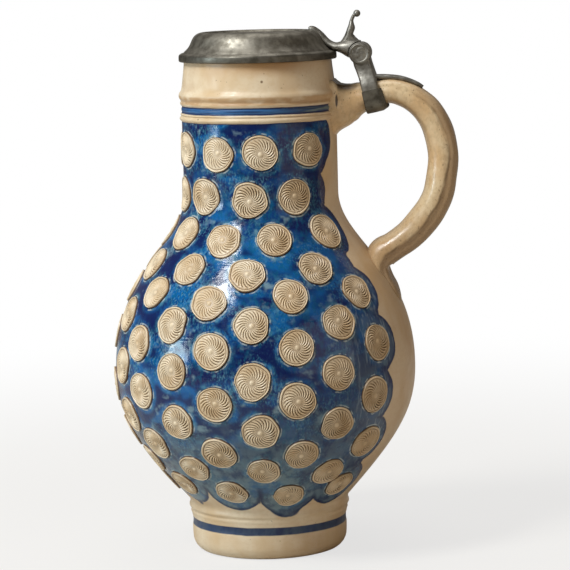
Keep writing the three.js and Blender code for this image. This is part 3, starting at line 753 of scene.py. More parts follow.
@dataclass(frozen=True)
class Pewter:
    """Old pewter, in millimetres: dull grey with darker bloom, small pits, where turned, fine rings, and
    below a set height a painted dark reflection.
    """

    name: str
    metal: Colour = paint(150, 147, 139)
    bloom: Colour = paint(110, 106, 98)
    pit: Colour = paint(50, 47, 43)
    dents: float = 0.13
    turned: float = 0.0
    glossy: Cloud = Cloud(3.5, 45.0, 3, shares=(0.42, 0.6))
    dark_reflection_below: float = 0.0
    clouds: Cloud = Cloud(6, 41.0, 4, roughness=0.6, levels=(0.36, 0.66))
    pits: Cloud = Cloud(1.1, 42.0, 2, levels=(0.66, 0.76), shares=(0.0, 0.7))
    worn: Cloud = Cloud(2.2, 43.0, 4)
    pit_depth: float = -0.08
    # the width and the seed of the rings
    rings: Point = (0.7, 44.0)

    def material(self) -> bpy.types.Material:
        """Draws the metal up.

        Returns:
            The material.
        """
        sketch = Sketch(self.name)
        pits = sketch.cloud(self.pits)
        # painted dark reflection below a set height, on the lid's skirt
        low = Slope(Axis.Z, (self.dark_reflection_below - 0.3, self.dark_reflection_below + 0.3), (0.42, 0.0))
        colour = sketch.blend(sketch.cloud(self.clouds), self.metal, self.bloom)
        colour = sketch.coats(colour, (self.pit, pits), (self.pit, sketch.slope(low)))
        worn = sketch.bump(sketch.noise(self.worn), self.dents)
        normal = sketch.bump(pits, self.pit_depth, worn)
        if self.turned:
            normal = sketch.bump(sketch.rings(*self.rings), self.turned, normal)
        rough = sketch.cloud(self.glossy)
        return sketch.finish(Base_Color=colour, Metallic=1.0, Roughness=rough, Normal=normal)


class Workpiece:
    """A mesh while it is shaped, with Blender's own operators, in edit mode."""

    WELD = 0.02 * MM

    def __init__(self, name: str) -> None:
        """Takes up the primitive that was just added, under its own name.

        Args:
            name: The name of the piece and of its mesh.
        """
        self.thing = bpy.context.active_object
        self.thing.name = name
        self.thing.data.name = name

    @staticmethod
    def clear() -> None:
        """Leaves object mode with nothing selected."""
        if bpy.context.mode != "OBJECT":
            bpy.ops.object.mode_set(mode="OBJECT")
        bpy.ops.object.select_all(action="DESELECT")

    @classmethod
    def disc(cls, name: str, outline: Sequence[Point], centre: Vector) -> "Workpiece":
        """Starts from a filled circle whose vertices are set out on an outline.

        Args:
            name: The piece's name.
            outline: The outline's points in its own plane, anticlockwise.
            centre: Where its middle goes.

        Returns:
            The piece.
        """
        cls.clear()
        bpy.ops.mesh.primitive_circle_add(vertices=len(outline), radius=1, fill_type="NGON", location=centre)
        piece = cls(name)
        for vertex, (x, y) in zip(piece.thing.data.vertices, outline):
            vertex.co = (x, y, 0)
        return piece

    @classmethod
    def chain(cls, name: str, points: Sequence[Point]) -> "Workpiece":
        """Draws a turned piece's profile: one vertex, extruded from point to point.

        Args:
            name: The piece's name.
            points: The profile as radius and height.

        Returns:
            The piece.
        """
        cls.clear()
        start = Vector((points[0][0], 0, points[0][1]))
        bpy.ops.mesh.primitive_plane_add(size=MM, location=start)
        piece = cls(name)
        with piece.edit():
            bpy.ops.mesh.merge(type="CENTER")
            for (r0, z0), (r1, z1) in pairwise(points):
                extrude(x=r1 - r0, z=z1 - z0)
        return piece

    @classmethod
    def copy_of(cls, model: "Workpiece", name: str) -> "Workpiece":
        """Copies a piece, with a mesh of its own.

        Args:
            model: The piece to copy.
            name: The copy's name.

        Returns:
            The copy.
        """
        cls.clear()
        thing = model.thing.copy()
        thing.data = model.thing.data.copy()
        bpy.context.scene.collection.objects.link(thing)
        bpy.context.view_layer.objects.active = thing
        return cls(name)

    @classmethod
    def joined(cls, pieces: Sequence["Workpiece"]) -> "Workpiece":
        """Joins pieces.

        Args:
            pieces: The pieces, the one that takes in the others first.

        Returns:
            The first of them.
        """
        cls.clear()
        for piece in pieces:
            piece.thing.select_set(True)
        bpy.context.view_layer.objects.active = pieces[0].thing
        bpy.ops.object.join()
        return pieces[0]

    def carve(self, cutter: "Workpiece") -> None:
        """Cuts another piece's room out of this one, and removes the other."""
        self.modify("BOOLEAN", operation="DIFFERENCE", object=cutter.thing, solver="EXACT")
        cutter.remove()

    def remove(self) -> None:
        """Removes the piece and its mesh."""
        mesh = self.thing.data
        bpy.data.objects.remove(self.thing)
        bpy.data.meshes.remove(mesh)

    def take_up(self) -> None:
        """Makes this piece the active one, and the only one that is selected."""
        self.clear()
        self.thing.select_set(True)
        bpy.context.view_layer.objects.active = self.thing

    @contextmanager
    def edit(self) -> Iterator[None]:
        """Stays in edit mode on this piece alone, with all of it selected at first."""
        self.take_up()
        bpy.ops.object.mode_set(mode="EDIT")
        bpy.ops.mesh.select_mode(type="VERT")
        bpy.ops.mesh.select_all(action="SELECT")
        yield
        bpy.ops.object.mode_set(mode="OBJECT")

    def spin(self, steps: int) -> None:
        """Turns the profile once round the Z axis and closes the seam and the poles.

        Args:
            steps: How many sides the turned piece has.
        """
        with self.edit():
            bpy.ops.mesh.spin(steps=steps, angle=math.tau, center=(0, 0, 0), axis=(0, 0, 1))
            bpy.ops.mesh.select_all(action="SELECT")
            bpy.ops.mesh.remove_doubles(threshold=self.WELD)
            bpy.ops.mesh.normals_make_consistent(inside=False)

    def settle(self) -> None:
        """Moves the piece's place into its mesh."""
        self.take_up()
        bpy.ops.object.transform_apply(location=True, rotation=True, scale=True)

    def recalculate(self) -> None:
        """Points every face outwards."""
        with self.edit():
            bpy.ops.mesh.normals_make_consistent(inside=False)

    def modify(self, kind: str, **settings: object) -> None:
        """Adds a modifier and applies it.

        Args:
            kind: The modifier's type.
            settings: Its settings.
        """
        self.take_up()
        modifier = self.thing.modifiers.new(kind.lower(), kind)
        for name, value in settings.items():
            setattr(modifier, name, value)
        bpy.ops.object.modifier_apply(modifier=modifier.name)

    def smooth(self, degrees: float) -> None:
        """Shades the piece smooth, but for edges sharper than an angle."""
        self.take_up()
        bpy.ops.object.shade_smooth_by_angle(angle=math.radians(degrees))

    def places(self) -> np.ndarray:
        """Reads the vertices' places.

        Returns:
            The places, one row each.
        """
        found = np.empty(len(self.thing.data.vertices) * 3)
        self.thing.data.vertices.foreach_get("co", found)
        return found.reshape(-1, 3)

    def put(self, places: np.ndarray) -> None:
        """Moves the vertices to new places."""
        self.thing.data.vertices.foreach_set("co", places.ravel())
        self.thing.data.update()

    def mark(self, name: str, values: np.ndarray) -> None:
        """Gives every vertex a number for the materials to read."""
        layer = self.thing.data.attributes.new(name, "FLOAT", "POINT")
        layer.data.foreach_set("value", values.astype(np.float32))

    def hand_over(self, body: Body, slot: Slot, nodes: Sequence[str], *finishes: bpy.types.Material) -> None:
        """Dresses the finished piece and sets it on its body.

        Args:
            body: The body that it rides on.
            slot: The record's slot that its finish belongs to; not used.
            nodes: The nodes that it stands for.
            finishes: Its materials.
        """
        self.settle()
        for finish in finishes:
            self.thing.data.materials.append(finish)
        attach(self.thing, body.value)
        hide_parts(*nodes)
        log.info("%s: %d faces on %s", self.thing.name, len(self.thing.data.polygons), body.value)


def turn(angle: float, axis: Axis, centre: Sequence[float]) -> None:
    """Turns what is selected, anticlockwise as seen from the axis's end."""
    bpy.ops.transform.rotate(
        value=-angle, orient_axis=axis.value, orient_type="GLOBAL", center_override=centre
    )


def resize(factors: Sequence[float], centre: Sequence[float]) -> None:
    """Resizes what is selected about a centre."""
    bpy.ops.transform.resize(value=factors, orient_type="GLOBAL", center_override=centre)


def extrude(x: float = 0.0, y: float = 0.0, z: float = 0.0) -> None:
    """Draws what is selected out by a step."""
    bpy.ops.mesh.extrude_region_move(TRANSFORM_OT_translate={"value": (x, y, z)})


def in_metres(points: Sequence[Sequence[float]]) -> list[tuple[float, ...]]:
    """Turns points written in millimetres into metres."""
    return [tuple(value * MM for value in point) for point in points]


def rounded(points: int, fullness: float) -> list[Point]:
    """Draws a section from -1 to 1 each way.

    Args:
        points: How many points it has.
        fullness: 1 for an ellipse, and less for a squarer section.

    Returns:
        The section.
    """

    def fuller(share: float) -> float:
        """Moves a share out towards its end."""
        return math.copysign(abs(share) ** fullness, share)

    angles = [math.tau * k / points for k in range(points)]
    return [(fuller(math.cos(a)), fuller(math.sin(a))) for a in angles]


@dataclass(frozen=True)
class Station:
    """A place along a drawn-out bar, in the plane of the handle, in millimetres."""

    x: float
    z: float
    thick: float
    wide: float


def set_out(*rows: tuple[float, float, float, float]) -> tuple[Station, ...]:
    """Sets a bar's stations out."""
    return tuple(Station(*row) for row in rows)


def draw_out(name: str, section: Sequence[Point], stations: Sequence[Station], steps: int) -> Workpiece:
    """Draws a bar out through stations in the plane of the handle, as clay is pulled.

    A disc with the bar's section is extruded from station to station, and each new end is resized, turned
    square to the bar and moved on.

    Args:
        name: The piece's name.
        section: The section from -1 to 1: across the bar, then out towards its back.
        stations: The stations, from the lid's side on.
        steps: How many steps lie between two of them.

    Returns:
        The bar, closed at both ends.
    """
    rows = in_metres([(s.x, s.z, s.thick, s.wide) for s in stations])
    run = [Station(*row) for row in curve_through(rows, steps)]
    leans = []
    for i in range(len(run)):
        before, after = run[max(i - 1, 0)], run[min(i + 1, len(run) - 1)]
        leans.append(math.atan2(after.x - before.x, after.z - before.z))
    first = run[0]
    flat = [(-out * first.thick / 2, across * first.wide / 2) for across, out in section]
    piece = Workpiece.disc(name, flat, Vector((first.x, 0, first.z)))
    with piece.edit():
        turn(leans[0], Axis.Y, (first.x, 0, first.z))
        for (here, there), (lean, new_lean) in zip(pairwise(run), pairwise(leans)):
            middle = (here.x, 0, here.z)
            extrude()
            turn(-lean, Axis.Y, middle)
            resize((there.thick / here.thick, there.wide / here.wide, 1), middle)
            turn(new_lean, Axis.Y, middle)
            bpy.ops.transform.translate(value=(there.x - here.x, 0, there.z - here.z))
    piece.settle()
    piece.recalculate()
    return piece


@dataclass(frozen=True)
class PotSizes:
    """The thrown pot, in millimetres: where its belly's curves end, and how they leave those ends."""

    waist: Point = (43.6, 29.0)
    waist_lead: Point = (71.1, 60.2)
    belly_lead: Point = (80.1, 74.3)
    belly: Point = (80.1, 98.0)
    shoulder_lead: Point = (80.1, 151.3)
    neck_lead: Point = (41.0, 164.3)
    neck: Point = (41.0, 191.0)
    bands_from: float = 229.6
    wall: float = 5.0
    sides: int = 216
    # how many points the side takes up to the belly, on to the neck and up the neck
    steps: tuple[int, int, int] = (34, 46, 18)


class PotSide:
    """The pot's outer side from its waist to its neck's bands, measured along the way up it."""

    def __init__(self, sizes: PotSizes) -> None:
        """Draws the side.

        Args:
            sizes: The pot's sizes.
        """
        low, high, last = sizes.steps
        lower = bezier(sizes.waist, sizes.waist_lead, sizes.belly_lead, sizes.belly, low)
        upper = bezier(sizes.belly, sizes.shoulder_lead, sizes.neck_lead, sizes.neck, high)
        rise = np.linspace(sizes.neck[1], sizes.bands_from, last)[1:]
        neck = [(sizes.neck[0], float(z)) for z in rise]
        self.points = np.array([*lower, *upper[1:], *neck]) * MM
        steps = np.diff(self.points, axis=0)
        self.ways = np.r_[0, np.cumsum(np.hypot(steps[:, 0], steps[:, 1]))]
        along = np.gradient(self.points, self.ways, axis=0)
        along /= np.linalg.norm(along, axis=1)[:, None]
        self.outward = np.c_[along[:, 1], -along[:, 0]]

    def way_to(self, height: float | np.ndarray) -> float | np.ndarray:
        """Gives how far up the side a height lies."""
        return np.interp(height, self.points[:, 1], self.ways)

    def radius_at(self, height: float | np.ndarray) -> float | np.ndarray:
        """Gives how wide the side is at a height."""
        return np.interp(height, self.points[:, 1], self.points[:, 0])

    def inside(self, wall: float) -> np.ndarray:
        """Gives the same side moved in by a wall's thickness."""
        return self.points - self.outward * wall

    def unwrap(self, azimuth: float, height: float, places: np.ndarray) -> np.ndarray:
        """Measures places from one on the side.

        Args:
            azimuth: That place's azimuth, in radians.
            height: Its height.
            places: The places to measure.

        Returns:
            How far to the right of it and how far up the side from it each lies.
        """
        turned = (np.arctan2(places[:, 0], -places[:, 1]) - azimuth + math.pi) % math.tau - math.pi
        ways = self.way_to(places[:, 2])
        return np.c_[turned * np.hypot(places[:, 0], places[:, 1]), ways - self.way_to(height)]

    def wrap(self, azimuth: float, height: float, flat: np.ndarray) -> np.ndarray:
        """Lays flat points on the side, with their middle at a place.

        Args:
            azimuth: The place's azimuth, in radians.
            height: Its height.
            flat: The points: to the right as seen from outside, up, and out.

        Returns:
            The points in space.
        """
        ways = self.way_to(height) + flat[:, 1]
        radius, rise = (np.interp(ways, self.ways, self.points[:, k]) for k in (0, 1))
        out_r, out_z = (np.interp(ways, self.ways, self.outward[:, k]) for k in (0, 1))
        turned = azimuth + flat[:, 0] / radius
        reach = radius + flat[:, 2] * out_r
        return np.c_[reach * np.sin(turned), -reach * np.cos(turned), rise + flat[:, 2] * out_z]


@dataclass(frozen=True)
class Row:
    """A row of rosettes, in millimetres and degrees: its height, one azimuth in it and the step to the next.

    Only rosettes that the photo shows have a nudge. It says how many steps from that azimuth the rosette
    lies, and how far to the right and up it is off the row.
    """

    HANDLE_AT = 90.0

    name: str
    height: float
    azimuth: float
    pitch: float
    nudges: tuple[tuple[int, float, float], ...]

    def azimuths(self, bare: float) -> list[float]:
        """Gives every rosette's azimuth.

        Args:
            bare: How far the bare field at the handle reaches to each side of it, in degrees.

        Returns:
            The azimuths in degrees, from the handle's near side round the front.
        """
        first = self.azimuth
        while first + self.pitch <= self.HANDLE_AT - bare:
            first += self.pitch
        count = int((first - (self.HANDLE_AT + bare - 360)) // self.pitch) + 1
        return [first - k * self.pitch for k in range(count)]

    def nudge(self, turned: float) -> Point | None:
        """Gives how far a rosette lies off the row, or None where the photo shows none, from its azimuth."""
        steps = round((math.degrees(turned) - self.azimuth) / self.pitch)
        return next(((right, up) for step, right, up in self.nudges if step == steps), None)


ROWS = (
    Row("a", 215.0, 6.6, 34.2, ((-2, -1.4, 1.0), (-1, 0.0, -0.8), (0, -0.9, 0.2), (1, 1.4, 0.5))),
    Row("b", 192.0, -2.3, 33.6, ((-1, -2.9, 0.2), (0, -0.7, -1.3), (1, -0.6, -0.4))),
    Row("c", 171.5, 13.2, 33.7, ((-2, 1.5, 0.9), (-1, 1.5, -1.5), (0, -0.3, -1.1), (1, 2.2, 1.1))),
    Row("d", 156.0, -2.0, 32.9, ((-1, 0.3, 0.1), (0, -0.7, -1.9), (1, 1.8, 0.0))),
    Row("e", 143.0, 16.5, 33.6, ((-2, 0.3, 0.9), (-1, -2.0, -2.2), (0, 0.4, 0.6))),
    Row("f", 130.5, 0.8, 34.4, ((-1, -0.8, -1.2), (0, -0.9, -0.5), (1, 1.2, -1.3))),
    Row("g", 118.0, 16.9, 34.6, ((-1, 3.2, -0.8), (0, 0.4, 0.4), (1, 2.4, -1.4))),
    Row("h", 104.7, 1.4, 32.8, ((-1, -0.8, 1.1), (0, -1.2, -2.6), (1, -1.5, -0.4))),
    Row("i", 91.2, 16.7, 32.4, ((-2, -1.1, 2.4), (-1, 2.1, -1.2), (0, 0.1, 0.3), (1, 1.1, -0.9))),
    Row("j", 78.0, 3.0, 32.2, ((-1, -2.6, 1.4), (0, -0.2, -2.4), (1, -2.6, -0.4))),
    Row("k", 64.5, 19.8, 32.0, ((-2, -6.4, 0.4), (-1, -4.3, -1.4), (0, 0.2, -2.7), (1, -0.6, -0.1))),
    Row("l", 52.3, 3.6, 32.4, ((-1, -3.4, 0.6), (0, -0.3, 0.5), (1, -0.2, -2.6))),
    Row("m", 40.3, 16.2, 32.6, ((-2, -0.7, 1.2), (-1, 0.1, -0.8), (0, 0.8, -3.1), (1, 0.3, 0.0))),
)


@dataclass(frozen=True)
class RosetteSizes:
    """A pressed rosette, in millimetres: whirled petals in a plain rim, round a small bead."""

    radius: float = 9.3
    petals: int = 21
    whirl: float = math.radians(42)
    bare: float = 34.0
    brush: float = 15.6
    # each ring's share of the radius, its height on a petal and between two
    rings: tuple[Triple, ...] = (
        (1.03, -0.8, -0.8), (1.0, 0.2, 0.2), (0.985, 0.75, 0.75), (0.965, 1.02, 1.02), (0.94, 1.02, 1.02),
        (0.922, 0.9, 0.9), (0.9, 0.5, 0.5), (0.882, 0.5, 0.5), (0.86, 0.76, 0.76), (0.815, 0.8, 0.62),
        (0.765, 0.92, 0.32), (0.7, 1.02, 0.18), (0.63, 1.08, 0.14), (0.56, 1.1, 0.16), (0.49, 1.08, 0.2),
        (0.42, 1.02, 0.28), (0.36, 0.94, 0.4), (0.3, 0.86, 0.52), (0.24, 0.76, 0.6), (0.18, 0.68, 0.64),
        (0.13, 0.72, 0.72), (0.09, 1.02, 1.02),
    )
    bead_top: float = 1.25
    # the share of the radius where the whirl ends, how much further out it starts, and how it gathers
    hub: float = 0.18
    whirl_width: float = 0.64
    gather: float = 1.55

    def twist(self, share: np.ndarray | float) -> np.ndarray | float:
        """Gives how far the petals have whirled round at a share of the radius, from the rim inwards."""
        out = np.clip((share - self.hub) / self.whirl_width, 0, 1)
        return self.whirl * (out**self.gather - 1)


@dataclass(frozen=True)
class Pressing:
    """How one rosette came out: its turn, its shape, where its stamp slipped, and how deep it went in."""

    # what chance allows: uneven outlines, sizes, slips in millimetres, leans, and changes of depth and stain
    UNEVEN = (0.008, 0.036)
    SIZES = (0.965, 1.035)
    SLIP = 0.85
    LEAN = 0.16
    DEEPER = (-0.26, 0.18)
    DIRTIER = (-0.2, 0.25)
    # how much smaller the lowest ones are, how much deeper those on the neck, and the least and most depth
    SMALLER = 0.09
    ON_NECK = 0.14
    DEPTHS = (0.4, 1.2)

    turned: float
    size: float
    wobble: tuple[float, float, float, float]
    slip: Point
    depth: float
    tilt: Point
    stain: float

    @classmethod
    def at(cls, azimuth: float, height: float, chance: np.random.Generator) -> "Pressing":
        """Draws one by chance: worn at the left of the front, deep and stained to the right and low down.

        Args:
            azimuth: Where it lies, in degrees.
            height: How high it lies, in millimetres.
            chance: What the random numbers come from.

        Returns:
            The pressing.
        """
        right = float(np.clip((azimuth + 60) / 110, 0, 1)) if azimuth > -90 else 0.5
        low = float(np.clip((130 - height) / 90, 0, 1))
        lowest = np.clip((62 - height) / 16, 0, 1)
        plain = 0.72 + 0.36 * right + 0.1 * low + (cls.ON_NECK if height > 180 else 0.0)
        second, third = chance.uniform(*cls.UNEVEN, 2)
        return cls(
            turned=float(chance.uniform(0, math.tau)),
            size=float(chance.uniform(*cls.SIZES) - cls.SMALLER * lowest),
            wobble=(
                float(second),
                float(chance.uniform(0, math.tau)),
                float(third),
                float(chance.uniform(0, math.tau)),
            ),
            slip=tuple(chance.uniform(-cls.SLIP, cls.SLIP, 2) * MM),
            depth=float(np.clip(plain + chance.uniform(*cls.DEEPER), *cls.DEPTHS)),
            tilt=tuple(chance.uniform(-cls.LEAN, cls.LEAN, 2)),
            stain=float(np.clip(right * (0.35 + 0.75 * low) + chance.uniform(*cls.DIRTIER), 0, 1)),
        )

    def outline(self, around: np.ndarray) -> np.ndarray:
        """Gives the rosette's uneven outline.

        Args:
            around: The directions from its middle.

        Returns:
            How many times its plain radius it reaches in each.
        """
        second, turn_2, third, turn_3 = self.wobble
        grown = 1 + second * np.cos(2 * around + turn_2) + 0.8 * third * np.cos(3 * around + turn_3)
        nicked = 0.5 * np.cos(5 * around + turn_2) + 0.4 * np.cos(7 * around + turn_2)
        return self.size * (grown + third * nicked)


class Rosettes:
    """The rosettes: one is modelled, and copied to every place with its own pressing."""

    # how far down and to the right the gap in the cobalt and the painted shadow round each rosette lie, and a
    # gap far from any, in millimetres
    SHADE = 0.14
    FAR = 40.0
    # how far apart hidden rosettes' middles are kept, in how many passes, and how far they may climb or sink
    CLEAR = 22.4 * MM
    PASSES = 150
    LEEWAY = 2.4 * MM
    # how much of what they lack each pass makes good, and the share of it that goes upwards
    MADE_GOOD = 0.3
    UPWARDS = 0.4
    SEED = 28

    def __init__(self, sizes: RosetteSizes, side: PotSide) -> None:
        """Sets their places out, and draws each one's pressing.

        Args:
            sizes: A rosette's sizes.
            side: The pot's side that they lie on.
        """
        self.sizes = sizes
        self.side = side
        self.rows = {row: [math.radians(a) for a in row.azimuths(sizes.bare)] for row in ROWS}
        even = {row: [self.spot(row, turned) for turned in turns] for row, turns in self.rows.items()}
        self.spots = self.spread(even)
        chance = np.random.default_rng(self.SEED)
        self.pressings = {
            row: [Pressing.at((math.degrees(a) + 180) % 360 - 180, row.height, chance) for a in turns]
            for row, turns in self.rows.items()
        }

    def spot(self, row: Row, turned: float) -> Point:
        """Places one rosette's middle, off its row where the photo shows it so.

        Args:
            row: Its row.
            turned: Its azimuth in the even row, in radians.

        Returns:
            Its azimuth and its height.
        """
        right, up = row.nudge(turned) or (0.0, 0.0)
        height = (row.height + up) * MM
        return turned + right * MM / float(self.side.radius_at(height)), height

    def spread(self, spots: dict[Row, list[Point]]) -> dict[Row, list[Point]]:
        """Moves rosettes that the photo doesn't show away from others, more round the pot than up it.

        Args:
            spots: Every rosette's azimuth and height, row by row.

        Returns:
            The same, moved.
        """
        loose = np.array([row.nudge(turned) is None for row, turns in self.rows.items() for turned in turns])
        turned, heights = np.array([spot for row in spots.values() for spot in row]).T
        ways = self.side.way_to(heights)
        first = ways.copy()
        for _ in range(self.PASSES):
            radius = np.interp(ways, self.side.ways, self.side.points[:, 0])
            angles = (turned[:, None] - turned + math.pi) % math.tau - math.pi
            across = angles * (radius[:, None] + radius) / 2
            rise = ways[:, None] - ways
            apart = np.hypot(across, rise)
            np.fill_diagonal(apart, 1.0)
            push = np.clip(self.CLEAR / apart - 1, 0, None) * loose[:, None] * self.MADE_GOOD
            turned = turned + (push * across).sum(axis=1) / radius
            climbed = ways + self.UPWARDS * (push * rise).sum(axis=1)
            ways = np.clip(climbed, first - self.LEEWAY, first + self.LEEWAY)
        heights = np.interp(ways, self.side.ways, self.side.points[:, 1])
        moved = zip(turned.tolist(), heights.tolist())
        return {row: [next(moved) for _ in places] for row, places in spots.items()}

    def centres(self) -> np.ndarray:
        """Gives every rosette's middle on the pot, a little low and to the right, where its shadow lies."""
        middle = np.array([[self.SHADE, -self.SHADE, 0.0]]) * MM
        return np.vstack([self.side.wrap(*spot, middle) for spots in self.spots.values() for spot in spots])

    def gaps(self, places: np.ndarray) -> np.ndarray:
        """Measures how far outside the nearest rosette's outline points lie, from a middle moved a little low
        and to the right, which puts the painted shadow round each rosette there.

        Args:
            places: Points on the pot.

        Returns:
            Each one's gap, in millimetres.
        """
        gap = np.full(len(places), self.FAR)
        for row, spots in self.spots.items():
            for (azimuth, height), pressing in zip(spots, self.pressings[row]):
                right, up = self.side.unwrap(azimuth, height, places).T / MM
                right, up = right - self.SHADE, up + self.SHADE
                reach = self.sizes.radius * pressing.outline(np.arctan2(up, right))
                gap = np.minimum(gap, np.hypot(right, up) - reach)
        return gap

    def model(self) -> Workpiece:
        """Models one flat rosette: a disc drawn up and in, ring by ring, to its bead.

        Returns:
            The rosette, about the origin and facing up.
        """
        count = self.sizes.petals * 4
        angles = np.arange(count) * math.tau / count
        share, height, _ = self.sizes.rings[0]
        reach = share * self.sizes.radius * MM
        outline = [(math.cos(a) * reach, math.sin(a) * reach) for a in angles]
        piece = Workpiece.disc("rosette", outline, Vector((0, 0, height * MM)))
        with piece.edit():
            for (old, low, _), (new, high, _) in pairwise(self.sizes.rings):
                extrude(z=(high - low) * MM)
                resize((new / old, new / old, 1), (0, 0, 0))
                turn(self.sizes.twist(new) - self.sizes.twist(old), Axis.Z, (0, 0, 0))
            extrude(z=(self.sizes.bead_top - self.sizes.rings[-1][1]) * MM)
            bpy.ops.mesh.merge(type="CENTER")
        piece.settle()
        piece.recalculate()
        return piece

    def press(self, flat: np.ndarray, pressing: Pressing) -> tuple[np.ndarray, np.ndarray]:
        """Presses the petals into a flat rosette's vertices.

        Args:
            flat: The modelled rosette's vertices.
            pressing: How it comes out.

        Returns:
            The pressed vertices, and each one's height from 0 to 1.
        """
        shares, tops, valleys = (np.array(v) for v in zip(*reversed(self.sizes.rings)))
        reach = np.hypot(flat[:, 0], flat[:, 1]) / (self.sizes.radius * MM)
        around = np.arctan2(flat[:, 1], flat[:, 0]) + pressing.turned
        unit = np.c_[np.cos(around), np.sin(around)] * reach[:, None]
        worn = np.clip(pressing.depth * (1 + 0.3 * unit[:, 0] - 0.12 * unit[:, 1]), 0.2, 1.25)
        deep = (np.interp(reach, shares, tops) - np.interp(reach, shares, valleys)) * worn
        whirled = around - pressing.turned - self.sizes.twist(reach)
        petal = np.abs(np.cos(self.sizes.petals / 2 * whirled)) ** 0.8
        height = flat[:, 2] / MM - deep * (1 - petal)
        grown = pressing.outline(around)
        within = np.clip(1.08 * (1.0 - reach**4), 0, 1)
        slipped = np.array(pressing.slip) * within[:, None]
        place = unit * self.sizes.radius * MM * grown[:, None] + slipped
        lift = pressing.tilt[0] * unit[:, 0] + pressing.tilt[1] * unit[:, 1]
        raised = height + np.where(height > 0.3, lift, 0)
        return np.c_[place, raised * MM], np.clip(height / 1.1, 0, 1)

    def build(self, glaze: bpy.types.Material) -> None:
        """Models the rosette, and lays its copies on the pot, a piece to each row.

        Args:
            glaze: The rosettes' material.
        """
        model = self.model()
        flat = model.places()
        for row, spots in self.spots.items():
            copies = []
            for (azimuth, height), pressing in zip(spots, self.pressings[row]):
                pressed, relief = self.press(flat, pressing)
                copy = Workpiece.copy_of(model, f"rosette_row_{row.name}")
                copy.put(self.side.wrap(azimuth, height, pressed))
                copy.mark("relief", relief)
                copy.mark("stain", np.full(len(flat), pressing.stain))
                copies.append(copy)
            piece = Workpiece.joined(copies)
            piece.smooth(50)
            piece.hand_over(Body.JUG, Slot.GLAZED, ["stoneware_body"], glaze)
        model.remove()


